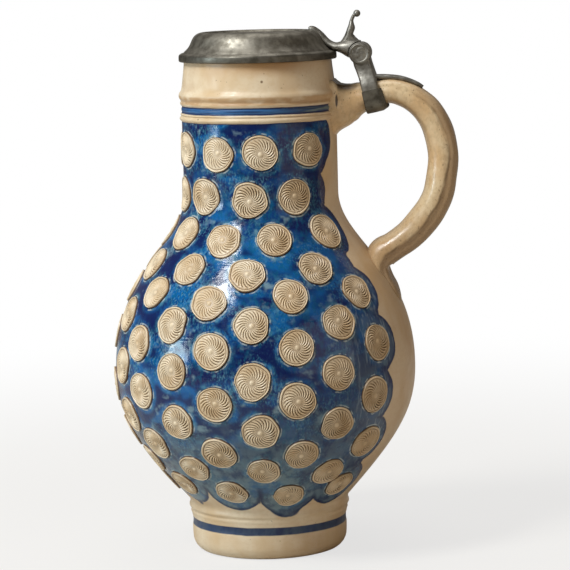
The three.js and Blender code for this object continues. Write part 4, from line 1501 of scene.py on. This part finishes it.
@dataclass(frozen=True)
class Pot:
    """The pot itself, in millimetres: a closed profile, turned, that carries the cobalt's reach."""

    sizes: PotSizes
    side: PotSide
    rosettes: Rosettes
    # the foot's and the neck's profiles, from the outside of the foot up and over the mouth, in millimetres
    foot: Profile = (
        (0.0, 0.0), (18.0, 0.0), (34.0, 0.0), (36.2, 0.05), (37.6, 0.5), (38.8, 1.4), (40.0, 2.8),
        (40.8, 4.4), (41.25, 6.0), (41.4, 8.0), (41.5, 10.5), (41.5, 12.8), (41.35, 13.6), (41.2, 14.4),
        (41.15, 15.8), (41.25, 17.2), (41.45, 18.1), (41.7, 18.9), (41.75, 19.6), (42.0, 20.2),
        (42.25, 20.8), (42.1, 21.5), (41.95, 22.1), (42.2, 22.7), (42.7, 23.2), (43.0, 23.8), (43.0, 24.5),
        (42.7, 25.3), (42.5, 26.2), (42.6, 27.2), (43.0, 28.2),
    )
    neck: Profile = (
        (41.0, 230.1), (41.4, 230.45), (41.85, 230.9), (42.1, 231.5), (42.0, 232.1), (41.6, 232.6),
        (41.15, 232.95), (41.1, 233.15), (41.45, 233.4), (41.65, 233.75), (41.5, 234.1), (41.05, 234.45),
        (40.8, 234.9), (40.8, 235.4), (41.05, 235.8), (41.1, 236.4), (41.05, 237.0), (40.8, 237.4),
        (40.75, 237.9), (41.0, 238.4), (41.45, 238.8), (41.7, 239.3), (41.7, 239.8), (41.4, 240.3),
        (41.25, 240.8), (41.5, 241.4), (42.0, 242.1), (42.3, 242.9), (42.35, 243.6), (42.25, 244.4),
        (41.9, 245.2), (41.3, 245.9), (40.9, 246.7), (40.6, 248.2), (40.3, 250.4), (40.0, 252.8),
        (39.7, 255.2), (39.4, 257.6), (39.2, 259.8), (39.1, 261.4), (38.9, 262.3), (38.3, 263.0),
        (37.4, 263.3), (36.4, 263.3), (35.4, 263.1), (34.7, 262.4), (34.3, 261.2), (34.3, 256.0),
        (34.6, 250.0), (35.4, 244.0), (35.9, 238.0), (36.0, 231.0), (36.0, 220.0), (36.0, 208.0),
        (36.0, 198.0),
    )
    floor: Profile = (
        (37.2, 30.0), (36.6, 22.0), (36.0, 16.0), (34.0, 12.2), (30.5, 10.0), (25.0, 9.1), (12.0, 9.0),
        (0.0, 9.0),
    )
    # between which heights the hollow follows the side
    hollow: Point = (36.0, 190.0)
    # the brushed field: its scallops above the top row, its two top corners, and the reach where none is
    scallop_rise: float = 7.5
    corner: float = math.radians(7)
    corner_rise: float = 5.0
    no_cobalt: float = -20.0
    # its top and how sharply it ends there, the heights between which rosettes lie, and how deep the skin is
    field_top: float = 230.2
    field_end: float = 3.0
    pressed: Point = (28.2, 229.9)
    skin: float = 1.5

    def profile(self) -> list[tuple[float, ...]]:
        """Puts the whole profile together.

        Returns:
            It, in metres, from the axis under the foot over the mouth to the axis on the floor.
        """
        within = self.side.inside(self.sizes.wall * MM)
        low, high = self.hollow
        hollow = [tuple(p) for p in within[::-2] if low * MM < p[1] < high * MM]
        outer = [tuple(p) for p in self.side.points]
        return [*in_metres(self.foot), *outer, *in_metres(self.neck), *hollow, *in_metres(self.floor)]

    def brush_marks(self) -> np.ndarray:
        """Finds the middles of the brush's marks.

        Returns:
            Every rosette's, those between two of a row, those along the field's ends, and its top corners.
        """
        rows = self.rosettes.rows
        spots = []
        for row, turns in list(rows.items())[:-1]:
            rise = self.scallop_rise if row is ROWS[0] else 0.0
            half = math.radians(row.pitch / 2)
            spots += [(turned - half, (row.height + rise) * MM) for turned in turns[:-1]]
        for end in (0, -1):
            last = np.array([row[end] for row in self.rosettes.spots.values()])
            spots += ((last[:-2] + 2 * last[1:-1] + last[2:]) / 4).tolist()
        top = (ROWS[0].height + self.corner_rise) * MM
        spots += [(rows[ROWS[0]][0] + self.corner, top), (rows[ROWS[0]][-1] - self.corner, top)]
        between = [self.side.wrap(turned, height, np.zeros((1, 3))) for turned, height in spots]
        return np.vstack([self.rosettes.centres(), *between])

    def carry_cobalt(self, piece: Workpiece) -> None:
        """Marks how far inside the brushed field and how far from a rosette each vertex lies, in millimetres.

        Args:
            piece: The turned pot.
        """
        places = piece.places()
        reach = np.full(len(places), self.no_cobalt)
        gap = self.rosettes.gaps(places)
        for centre in self.brush_marks():
            away = np.linalg.norm(places - centre, axis=1) / MM
            reach = np.maximum(reach, self.rosettes.sizes.brush - away)
        height = places[:, 2] / MM
        reach = np.minimum(reach, self.field_end * (self.field_top - height))
        radius = np.hypot(places[:, 0], places[:, 1])
        outside = radius > self.side.radius_at(places[:, 2]) - self.skin * MM
        low, high = self.pressed
        near = outside & (height > low) & (height < high)
        piece.mark("cobalt_reach", np.where(outside, reach, self.no_cobalt))
        piece.mark("rosette_gap", np.where(near, gap, self.rosettes.FAR))

    def build(self, glaze: bpy.types.Material, inner: bpy.types.Material) -> None:
        """Turns the pot.

        Args:
            glaze: The outside's material.
            inner: The inside's, for the walls that face inwards and the floor.
        """
        piece = Workpiece.chain("glazed_pot", self.profile())
        piece.spin(self.sizes.sides)
        piece.settle()
        self.carry_cobalt(piece)
        piece.smooth(50)
        for face in piece.thing.data.polygons:
            radius = math.hypot(face.center.x, face.center.y)
            inward = face.center.x * face.normal.x + face.center.y * face.normal.y < -0.2 * radius
            floor = face.normal.z > 0.7 and face.center.z < 30 * MM and radius < 38 * MM
            face.material_index = int(inward or floor)
        piece.hand_over(Body.JUG, Slot.GLAZED, ["stoneware_body"], glaze, inner)


def flare(x: np.ndarray, by: float, start: float, reach: float) -> np.ndarray:
    """Gives how much a root flares: in full up to a place, and ever less from there on."""
    return by * np.exp(-np.maximum(x - start, 0) / reach)


@dataclass(frozen=True)
class Handle:
    """The pulled handle, in millimetres: a full bar out of the neck, with a channel down its back."""

    stations: tuple[Station, ...] = set_out(
        (36.6, 237.9, 31.4, 30.0), (40.6, 237.6, 29.6, 29.0), (43.6, 237.5, 25.6, 26.4),
        (47.4, 238.6, 21.6, 24.2), (52.4, 240.3, 18.0, 23.0), (60.6, 242.2, 14.8, 23.0),
        (69.4, 243.8, 13.4, 23.0), (76.7, 242.2, 14.0, 23.0), (83.4, 238.6, 14.9, 23.0),
        (89.5, 233.0, 15.9, 23.0), (94.0, 225.2, 16.4, 23.2), (97.0, 214.0, 17.0, 23.4),
        (97.3, 204.0, 16.9, 23.6), (95.0, 190.4, 17.1, 23.8), (91.3, 181.8, 17.3, 23.8),
        (85.8, 174.2, 17.3, 23.8), (79.2, 167.2, 16.8, 23.8), (70.2, 161.0, 16.2, 24.4),
        (64.3, 156.8, 17.6, 25.2), (62.6, 150.6, 12.8, 25.8), (65.2, 144.2, 10.0, 25.4),
        (68.4, 139.2, 7.8, 23.6), (70.9, 134.6, 5.6, 19.6), (72.6, 130.6, 3.0, 12.0),
    )
    steps: int = 6
    # the section's points and fullness, the channel's depth and width, the creases' depth, place and width
    points: int = 64
    fullness: float = 0.84
    channel: Point = (0.13, 0.5)
    crease: Triple = (0.07, 0.36, 0.2)
    # the thumb's hollow above the tail: its place, shape, depth and width
    thumb: Triple = (70.6, -2.0, 147.4)
    thumb_shape: Triple = (1.0, 1.5, 1.0)
    thumb_press: Point = (1.3, 5.4)
    # the root lies above this height; its middle and half height, and where and how fast it ends
    root_above: float = 200.0
    root_middle: Point = (238.5, 8.0)
    root_end: Point = (58.0, 6.0)
    # how much its flare adds, up to where, and how soon it fades: over it and below it, with a swelling
    over: Triple = (3.2, 40.3, 2.2)
    below: Triple = (2.6, 41.0, 2.0)
    swelling: Triple = (0.7, 53.0, 3.0)
    # the top that the flare keeps to: its height, its own flare, and where it opens and by how much
    top: float = 247.5
    top_flare: Triple = (2.8, 40.3, 2.0)
    top_opens: Point = (50.0, 8.0)

    def section(self) -> list[Point]:
        """Draws the bar's section: full, with a channel down its back and a crease along each side.

        Returns:
            The section, from -1 to 1 each way.
        """
        deep, wide = self.channel
        crease_deep, crease_at, crease_wide = self.crease
        drawn = []
        for across, out in rounded(self.points, self.fullness):
            if out > 0:
                out -= deep * math.exp(-((across / wide) ** 2))
            if abs(across) > 0.6:
                across *= 1 - crease_deep * math.exp(-(((out - crease_at) / crease_wide) ** 2))
            drawn.append((across, out))
        return drawn

    def mark_places(self, piece: Workpiece) -> None:
        """Marks how far out each vertex lies, from -1 to 1, and how far along the bar, from 0 to 1.

        Args:
            piece: The bar.
        """
        run = np.array(curve_through([(s.x, s.z, s.thick) for s in self.stations], self.steps)) * MM
        along = np.gradient(run[:, :2], axis=0)
        along /= np.linalg.norm(along, axis=1)[:, None]
        places = piece.places()[:, [0, 2]]
        nearest = np.linalg.norm(places[:, None] - run[None, :, :2], axis=2).argmin(axis=1)
        away = places - run[nearest, :2]
        out = away[:, 1] * along[nearest, 0] - away[:, 0] * along[nearest, 1]
        piece.mark("outwards", 2 * out / run[nearest, 2])
        piece.mark("along", nearest / (len(run) - 1))

    def flare_root(self, places: np.ndarray) -> None:
        """Flares the root out to the neck, above and below, under a rounded top.

        Args:
            places: The bar's vertices.
        """
        x, _, z = (places / MM).T
        root = z > self.root_above
        middle, half = self.root_middle
        end, fade = self.root_end
        swelling, swollen_at, swollen_wide = self.swelling
        opens, wide = self.top_opens
        upper = np.clip((z - middle) / half, -1, 1) * np.clip((end - x) / fade, 0, 1) * root
        below = flare(x, *self.below) + swelling * np.exp(-(((x - swollen_at) / swollen_wide) ** 2))
        places[:, 2] += upper * np.where(upper > 0, flare(x, *self.over), below) * MM
        top = self.top + flare(x, *self.top_flare) + wide * np.clip((x - opens) / wide, 0, 1)
        places[:, 2] = np.where(root, np.minimum(places[:, 2], top * MM), places[:, 2])

    def work_over(self, piece: Workpiece) -> None:
        """Presses the thumb's hollow in above the tail, flares the root and leaves the bar uneven.

        Args:
            piece: The bar.
        """
        places = piece.places()
        depth, width = self.thumb_press
        near = np.linalg.norm((places - np.array(self.thumb) * MM) / np.array(self.thumb_shape), axis=1) / MM
        places[:, 0] -= depth * MM * np.exp(-((near / width) ** 2))
        x, y, z = (places / MM).T
        self.flare_root(places)
        lumps = 0.18 * np.sin(z * 0.31 + y * 0.2) + 0.14 * np.sin(x * 0.43 - z * 0.17 + 1.4)
        places[:, 1] *= 1 + lumps * 0.02
        places[:, 0] += lumps * 0.6 * MM
        piece.put(places)

    def build(self, clay: bpy.types.Material) -> None:
        """Pulls the handle.

        Args:
            clay: Its material.
        """
        piece = draw_out("pulled_handle", self.section(), self.stations, self.steps)
        self.mark_places(piece)
        self.work_over(piece)
        piece.smooth(60)
        piece.hand_over(Body.JUG, Slot.PLAIN, ["stoneware_handle"], clay)


@dataclass(frozen=True)
class Hinge:
    """The lid's hinge, in millimetres: its axis runs along Y."""

    x: float = 54.5
    z: float = 263.9
    moving_radius: float = 5.3
    cheek_radius: float = 5.7
    pin_radius: float = 1.6
    middle_half: float = 2.0
    moving: Point = (2.3, 6.0)
    cheek: Point = (6.3, 9.6)
    cap_from: float = 9.9
    # the room that each side's knuckles leave round the other's, and how far the edges are rounded
    room: float = 0.6
    cheek_corner: float = 0.3
    corner: float = 0.25
    pin_corner: float = 0.2
    sides: int = 56

    def bar(self, name: str, radius: float, span: Point, corner: float = 0.0) -> Workpiece:
        """Makes a round bar on the axis.

        Args:
            name: The bar's name.
            radius: Its radius.
            span: Where along Y it starts and ends.
            corner: How far its edges are rounded.

        Returns:
            The bar.
        """
        low, high = sorted(span)
        middle = Vector((self.x, (low + high) / 2, self.z)) * MM
        length = (high - low) * MM
        Workpiece.clear()
        bpy.ops.mesh.primitive_cylinder_add(
            vertices=self.sides,
            radius=radius * MM,
            depth=length,
            location=middle,
            rotation=(math.pi / 2, 0, 0),
        )
        piece = Workpiece(name)
        piece.settle()
        if corner:
            piece.modify("BEVEL", width=corner * MM, segments=3, limit_method="ANGLE")
        return piece

    def pair(self, name: str, radius: float, span: Point, corner: float = 0.0) -> list[Workpiece]:
        """Makes a bar and its twin on the other side."""
        return [self.bar(name, radius, span, corner), self.bar(name, radius, (-span[0], -span[1]), corner)]


@dataclass(frozen=True)
class Lid:
    """The pewter lid, in millimetres: the turned shell, the lever cast on to it, and the thumbpiece."""

    hinge: Hinge
    turned: bpy.types.Material
    cast: bpy.types.Material
    shell: Profile = (
        (0.0, 273.7), (14.0, 273.7), (28.1, 273.7), (30.2, 271.6), (31.6, 268.9), (33.0, 265.6),
        (33.7, 263.7), (34.4, 263.6), (39.8, 263.6), (40.1, 263.3), (40.1, 261.7), (40.3, 261.4),
        (40.8, 261.3), (41.3, 261.35), (41.65, 261.6), (41.8, 262.1), (41.8, 263.6), (41.75, 264.3),
        (41.5, 264.9), (41.0, 265.3), (40.4, 265.7), (39.9, 265.85), (39.5, 265.75), (39.25, 265.85),
        (39.0, 266.2), (38.5, 266.75), (37.8, 267.4), (37.0, 268.2), (36.3, 269.1), (35.7, 270.1),
        (35.2, 271.2), (34.75, 272.2), (34.3, 273.1), (33.75, 274.0), (33.1, 274.75), (32.3, 275.4),
        (31.4, 275.9), (30.5, 276.25), (29.6, 276.45), (28.9, 276.5), (28.4, 276.35), (28.0, 276.0),
        (27.65, 275.6), (27.3, 275.3), (26.6, 275.2), (24.6, 275.2), (24.2, 275.0), (23.8, 275.2),
        (20.0, 275.3), (15.0, 275.35), (14.6, 275.15), (14.2, 275.35), (9.0, 275.4), (4.0, 275.4),
        (0.0, 275.4),
    )
    lever: tuple[Station, ...] = set_out(
        (27.5, 277.0, 1.6, 5.6), (28.4, 277.1, 3.0, 7.2), (30.2, 276.2, 4.0, 8.0), (33.4, 273.6, 4.1, 8.6),
        (37.0, 269.9, 3.8, 10.0), (40.9, 267.6, 4.3, 12.6), (45.0, 267.1, 6.6, 16.4),
        (49.4, 266.5, 10.2, 18.6), (53.9, 265.8, 9.4, 18.8),
    )
    thumb: tuple[Station, ...] = set_out(
        (48.9, 270.4, 9.6, 10.4), (48.8, 272.4, 6.2, 10.2), (48.9, 274.3, 4.0, 9.6),
        (49.9, 277.1, 3.9, 8.8), (50.0, 279.2, 2.7, 7.6), (50.2, 281.1, 1.9, 6.2), (51.2, 283.3, 1.8, 4.6),
        (52.2, 284.2, 1.7, 3.8),
    )
    sides: int = 144
    steps: int = 5
    lever_points: int = 32
    thumb_points: int = 28
    fullness: float = 0.72
    # where along Y the lever makes room for the fixed knuckles: at each side, and in the middle
    side_room: Point = (6.0, 13.0)
    middle_room: Point = (-2.3, 2.3)
    knob_at: Triple = (53.0, 0.0, 284.6)
    knob_radius: float = 1.87
    knob_shape: Triple = (1.0, 1.25, 1.0)

    def build_shell(self) -> None:
        """Turns the shell."""
        piece = Workpiece.chain("turned_lid", in_metres(self.shell))
        piece.spin(self.sides)
        piece.smooth(35)
        piece.hand_over(Body.LID, Slot.LID_PEWTER, ["lid_shell"], self.turned)

    def build_lever(self) -> None:
        """Draws the lever out, cuts the fixed knuckles' room out of it and adds its own two."""
        hinge = self.hinge
        piece = draw_out("cast_lever", rounded(self.lever_points, self.fullness), self.lever, self.steps)
        room = hinge.cheek_radius + hinge.room
        for cutter in (*hinge.pair("room", room, self.side_room), hinge.bar("room", room, self.middle_room)):
            piece.carve(cutter)
        knuckles = hinge.pair("knuckle", hinge.moving_radius, hinge.moving, hinge.corner)
        piece = Workpiece.joined([piece, *knuckles])
        piece.smooth(35)
        piece.hand_over(Body.LID, Slot.LID_PEWTER, ["lid_lever"], self.cast)

    def build_thumbpiece(self) -> None:
        """Draws the thumbpiece up to its knob."""
        blade = draw_out("thumb_blade", rounded(self.thumb_points, self.fullness), self.thumb, self.steps)
        Workpiece.clear()
        bpy.ops.mesh.primitive_uv_sphere_add(
            segments=32,
            ring_count=18,
            radius=self.knob_radius * MM,
            location=Vector(self.knob_at) * MM,
            scale=self.knob_shape,
        )
        knob = Workpiece("knob")
        knob.settle()
        piece = Workpiece.joined([blade, knob])
        piece.smooth(40)
        piece.hand_over(Body.LID, Slot.LID_PEWTER, ["thumbpiece"], self.cast)


@dataclass(frozen=True)
class Mounts:
    """The pewter on the handle, in millimetres: band, shank, tang, and the hinge's pin and caps."""

    hinge: Hinge
    cast: bpy.types.Material
    dark: bpy.types.Material
    # where the band grips the handle, and how far it leans there
    grip: Triple = (60.5, 0.0, 241.4)
    lean_by: float = math.radians(12)
    tang: tuple[Station, ...] = set_out(
        (62.0, 250.9, 3.2, 10.4), (67.2, 250.9, 3.0, 9.6), (72.4, 250.5, 2.9, 8.6), (76.8, 249.7, 2.7, 7.4),
        (81.2, 248.2, 2.5, 6.0), (84.4, 246.8, 2.2, 4.8), (87.0, 245.2, 1.8, 3.6),
    )
    tang_points: int = 28
    tang_fullness: float = 0.75
    tang_steps: int = 6
    # up from the grip, the two ends along the handle, and the half width
    shank: tuple[tuple[float, float, float, float], ...] = (
        (3.4, -4.6, 4.6, 13.4), (5.0, -4.6, 4.55, 13.4), (7.4, -4.6, 4.4, 12.9), (10.4, -4.7, 4.1, 11.6),
        (13.6, -5.1, 3.8, 10.4), (17.2, -5.7, 3.5, 9.6), (21.2, -5.8, 3.4, 9.5),
    )
    shank_points: int = 40
    shank_fullness: float = 0.22
    # the band's section along the handle and outwards, and its half width, underside, corners and ends
    band: Profile = (
        (-4.6, -0.9), (-4.6, 0.55), (-4.25, 0.9), (0.0, 1.0), (4.2, 0.9), (4.6, 0.7), (5.7, -0.1),
        (5.9, -0.9),
    )
    band_side: float = 12.7
    band_low: float = -7.8
    band_corner: float = 5.5
    band_top: float = 3.3
    # how far its lip flares low down, from which place on, and what share of that its root does, from where
    flare: float = 1.2
    lip: float = 5.0
    root_share: float = 0.15
    lip_root: float = 4.0
    # a cap's profile from its middle out, over its raised rim and back, and the worn whirl on it
    cap: Profile = (
        (0.0, 0.0), (4.8, 0.0), (5.1, 0.15), (5.2, 0.4), (5.2, 0.75), (5.05, 1.0), (4.7, 1.12), (4.35, 1.08),
        (4.05, 0.92), (3.85, 0.82), (3.5, 0.82), (3.0, 0.88), (2.4, 0.93), (1.7, 0.97), (1.0, 1.0),
        (0.5, 1.02), (0.0, 1.03),
    )
    cap_sides: int = 64
    whirl_radius: float = 3.8
    whirl_depth: float = 0.26

    def lean(self, piece: Workpiece) -> None:
        """Leans a piece into the grip's place.

        Args:
            piece: The piece, made upright about the origin.
        """
        with piece.edit():
            turn(-self.lean_by, Axis.Y, (0, 0, 0))
            bpy.ops.transform.translate(value=Vector(self.grip) * MM)

    def bend(self, y: float) -> None:
        """Bends the band's end a quarter round a corner, whose middle is at a place along Y."""
        middle = Vector((0, y, self.band_low + self.band_corner)) * MM
        bpy.ops.mesh.spin(steps=8, angle=math.pi / 2, center=middle, axis=(-1, 0, 0))

    def build_band(self) -> None:
        """Bends the band: down one side of the handle, round its underside and up the other."""
        straight = (self.band_top - self.band_low - self.band_corner) / 3 * MM
        inner = self.band_side - self.band_corner
        flat = [(along * MM, -out * MM) for along, out in self.band]
        piece = Workpiece.disc("band_strip", flat, Vector((0, -self.band_side, self.band_top)) * MM)
        with piece.edit():
            for _ in range(3):
                extrude(z=-straight)
            self.bend(-inner)
            for _ in range(4):
                extrude(y=2 * inner / 4 * MM)
            self.bend(inner)
            for _ in range(3):
                extrude(z=straight)
        piece.settle()
        places = piece.places()
        along, down = places[:, 0], self.band_top * MM - places[:, 2]
        flared = self.flare * np.clip(down / ((self.band_top - self.band_low) * MM), 0, 1) * MM
        root = np.where(along > self.lip_root * MM, self.root_share * flared, 0)
        places[:, 0] += np.where(along > self.lip * MM, flared, root)
        piece.put(places)
        self.lean(piece)
        piece.recalculate()
        piece.smooth(25)
        piece.hand_over(Body.JUG, Slot.PEWTER, ["handle_band"], self.dark)

    def build_shank(self) -> None:
        """Draws the shank up from the band to the hinge, and adds the hinge's three fixed knuckles."""
        up, start, end, half = self.shank[0]
        oval = rounded(self.shank_points, self.shank_fullness)
        section = [((start + end) / 2 + across * (end - start) / 2, out * half) for across, out in oval]
        piece = Workpiece.disc("shank_block", in_metres(section), Vector((0, 0, up * MM)))
        with piece.edit():
            for (up, start, end, half), (up_2, start_2, end_2, half_2) in pairwise(self.shank):
                extrude(z=(up_2 - up) * MM)
                middle, middle_2 = (start + end) / 2, (start_2 + end_2) / 2
                resize(((end_2 - start_2) / (end - start), half_2 / half, 1), (middle * MM, 0, 0))
                bpy.ops.transform.translate(value=((middle_2 - middle) * MM, 0, 0))
        piece.settle()
        self.lean(piece)
        piece.recalculate()
        hinge = self.hinge
        slot = (hinge.middle_half, hinge.cheek[0])
        for cutter in hinge.pair("slot", hinge.moving_radius + hinge.room, slot):
            piece.carve(cutter)
        cheeks = hinge.pair("cheek", hinge.cheek_radius, hinge.cheek, hinge.cheek_corner)
        middle_span = (-hinge.middle_half, hinge.middle_half)
        middle_knuckle = hinge.bar("knuckle", hinge.cheek_radius, middle_span, hinge.corner)
        piece = Workpiece.joined([piece, *cheeks, middle_knuckle])
        piece.smooth(35)
        piece.hand_over(Body.JUG, Slot.PEWTER, ["hinge_shank"], self.cast)

    def build_tang(self) -> None:
        """Draws the tang out along the handle's back."""
        section = rounded(self.tang_points, self.tang_fullness)
        piece = draw_out("handle_tongue", section, self.tang, self.tang_steps)
        piece.smooth(40)
        piece.hand_over(Body.JUG, Slot.PEWTER, ["handle_tang"], self.cast)

    def build_pin(self) -> None:
        """Makes the hinge's pin."""
        half = self.hinge.cheek[1]
        piece = self.hinge.bar("turning_pin", self.hinge.pin_radius, (-half, half), self.hinge.pin_corner)
        piece.smooth(35)
        piece.hand_over(Body.JUG, Slot.PEWTER, ["hinge_pin"], self.cast)

    def build_cap(self, name: str, node: str, facing: int) -> None:
        """Makes a cap: a turned disc with a raised rim round a worn whirl.

        Args:
            name: The cap's name.
            node: The node that it stands for.
            facing: 1 for the cap that faces +Y, and -1 for the other.
        """
        piece = Workpiece.chain(name, in_metres(self.cap))
        piece.spin(self.cap_sides)
        places = piece.places()
        radius = np.hypot(places[:, 0], places[:, 1]) / MM
        around = np.arctan2(places[:, 1], places[:, 0])
        face = (places[:, 2] > 0.5 * MM) & (radius < self.whirl_radius)
        worn = np.where(face, np.sin(3 * around + 1.5 * radius) * radius / 4, 0)
        places[:, 2] += self.whirl_depth * MM * worn
        piece.put(places)
        place = Vector((self.hinge.x, facing * self.hinge.cap_from, self.hinge.z)) * MM
        with piece.edit():
            turn(-facing * math.pi / 2, Axis.X, (0, 0, 0))
            bpy.ops.transform.translate(value=place)
        piece.recalculate()
        piece.smooth(50)
        piece.hand_over(Body.JUG, Slot.PEWTER, [node], self.cast)


@dataclass(frozen=True)
class Lamp:
    """A soft lamp: where it stands, how wide it is and how strong."""

    name: str
    place: Triple
    width: float
    watts: float
    colour: Triple = (1.0, 1.0, 1.0)


@dataclass(frozen=True)
class Studio:
    """The pale floor, the soft lamps, the white surround and the camera at the photograph's angle."""

    lamps: tuple[Lamp, ...] = (
        Lamp("key_lamp", (-1.0, -1.0, 1.6), 0.6, 29.0, (0.95, 0.98, 1.0)),
        Lamp("high_lamp", (-0.85, -0.77, 1.9), 0.36, 7.0, (0.95, 0.98, 1.0)),
        Lamp("window_lamp", (-1.79, -0.84, 0.42), 0.6, 13.0, (0.72, 0.9, 1.0)),
        Lamp("overhead_lamp", (-0.1, 0.35, 1.8), 1.5, 9.5),
        Lamp("fill_lamp", (1.5, -1.2, 0.45), 1.7, 5.2, (1.0, 0.89, 0.74)),
    )
    aim: Triple = (0.0, 0.0, 0.14)
    camera_at: Triple = (0.1350, -1.4126, 0.322)
    camera_aim: Triple = (0.01136, 0.00099, 0.141)
    camera_roll: float = math.radians(1.46)
    lens: float = 169.1
    sensor: float = 36.0
    white: Colour = (1.0, 1.0, 1.0, 1.0)
    paper: Colour = (0.54, 0.5, 0.44, 1.0)
    floor_size: float = 12.0
    # how far out the floor starts and ends growing white, and how white it is there
    floor_fade: Point = (0.15, 0.8)
    floor_white: Point = (0.72, 1.0)
    sky: Colour = (1.0, 0.94, 0.85, 1.0)
    sky_strength: float = 0.2

    def build_floor(self) -> None:
        """Lays the floor: the object's shadow shows near it, and it grows white to the camera further out."""
        Workpiece.clear()
        bpy.ops.mesh.primitive_grid_add(x_subdivisions=8, y_subdivisions=8, size=self.floor_size)
        floor = bpy.context.active_object
        floor.name = "studio_floor"
        sketch = Sketch("floor_paper")
        seen = sketch.node("ShaderNodeLightPath").outputs["Is Camera Ray"]
        away = sketch.vector("LENGTH", sketch.place)
        share = sketch.sum("MULTIPLY", seen, sketch.step(away, *self.floor_fade, *self.floor_white))
        matt = sketch.node("ShaderNodeBsdfDiffuse", self.paper).outputs[0]
        glow = sketch.node("ShaderNodeEmission", self.white).outputs[0]
        mixed = sketch.node("ShaderNodeMixShader", share, matt, glow).outputs[0]
        sketch.tree.nodes.remove(sketch.shader)
        sketch.feed(sketch.tree.nodes["Material Output"].inputs["Surface"], mixed)
        floor.data.materials.append(sketch.material)

    def build_surround(self) -> None:
        """Surrounds the scene with white where it is seen, and with a little soft light elsewhere."""
        world = bpy.data.worlds.new("white_surround")
        bpy.context.scene.world = world
        world.use_nodes = True
        tree = world.node_tree
        plain = tree.nodes["Background"]
        plain.inputs["Color"].default_value = self.sky
        plain.inputs["Strength"].default_value = self.sky_strength
        shown = tree.nodes.new("ShaderNodeBackground")
        shown.inputs["Color"].default_value = self.white
        mixed = tree.nodes.new("ShaderNodeMixShader")
        seen = tree.nodes.new("ShaderNodeLightPath")
        sources = (seen.outputs["Is Camera Ray"], plain.outputs[0], shown.outputs[0])
        for source, socket in zip(sources, mixed.inputs):
            tree.links.new(source, socket)
        tree.links.new(mixed.outputs[0], tree.nodes["World Output"].inputs["Surface"])

    def build_lamps(self) -> None:
        """Sets the lamps up, each aimed at the jug."""
        for lamp in self.lamps:
            Workpiece.clear()
            bpy.ops.object.light_add(type="AREA", location=lamp.place)
            light = bpy.context.active_object
            light.name = lamp.name
            light.data.shape = "DISK"
            light.data.size = lamp.width
            light.data.energy = lamp.watts
            light.data.color = lamp.colour
            light.visible_camera = False
            ahead = Vector(self.aim) - Vector(lamp.place)
            light.rotation_euler = ahead.to_track_quat("-Z", "Y").to_euler()

    def build_camera(self) -> None:
        """Stands the camera where the photograph was taken from, with its small roll."""
        Workpiece.clear()
        bpy.ops.object.camera_add(location=self.camera_at)
        camera = bpy.context.active_object
        camera.name = "photo_camera"
        camera.data.sensor_width = self.sensor
        camera.data.lens = self.lens
        ahead = (Vector(self.camera_aim) - Vector(self.camera_at)).normalized()
        level = ahead.cross(Vector((0, 0, 1))).normalized()
        upright = level.cross(ahead)
        right = level * math.cos(self.camera_roll) - upright * math.sin(self.camera_roll)
        up = upright * math.cos(self.camera_roll) + level * math.sin(self.camera_roll)
        turned = Matrix((right, up, -ahead)).transposed()
        camera.rotation_euler = turned.to_euler()
        bpy.context.scene.camera = camera

    def build(self) -> None:
        """Sets the whole studio up."""
        self.build_floor()
        self.build_surround()
        self.build_lamps()
        self.build_camera()
        bpy.context.scene.view_settings.view_transform = "Standard"


def main() -> None:
    """Builds the jug piece by piece, and its studio."""
    logging.basicConfig(level=logging.INFO, format="%(message)s")
    pot_sizes = PotSizes()
    side = PotSide(pot_sizes)
    rosettes = Rosettes(RosetteSizes(), side)
    Pot(pot_sizes, side, rosettes).build(SaltGlaze().material(), InnerGlaze().material())
    rosettes.build(PressedClay().material())
    Handle().build(HandleGlaze().material())

    hinge = Hinge()
    dark = Pewter("band_pewter", paint(120, 116, 106), paint(78, 74, 66))
    mounts = Mounts(hinge, Pewter("cast_pewter").material(), dark.material())
    mounts.build_band()
    mounts.build_shank()
    mounts.build_tang()
    mounts.build_pin()
    mounts.build_cap("near_cap", "hinge_cap_near", -1)
    mounts.build_cap("far_cap", "hinge_cap_far", 1)
    turned = Pewter(
        "turned_pewter",
        paint(138, 133, 122),
        paint(102, 97, 87),
        dents=0.03,
        turned=0.04,
        glossy=Cloud(3.5, 45.0, 3, shares=(0.42, 0.56)),
        # the skirt's painted dark reflection
        dark_reflection_below=265.0,
    )
    lid = Lid(hinge, turned.material(), Pewter("worn_pewter").material())
    lid.build_shell()
    lid.build_lever()
    lid.build_thumbpiece()

    Studio().build()


if __name__ == "__main__":
    main()
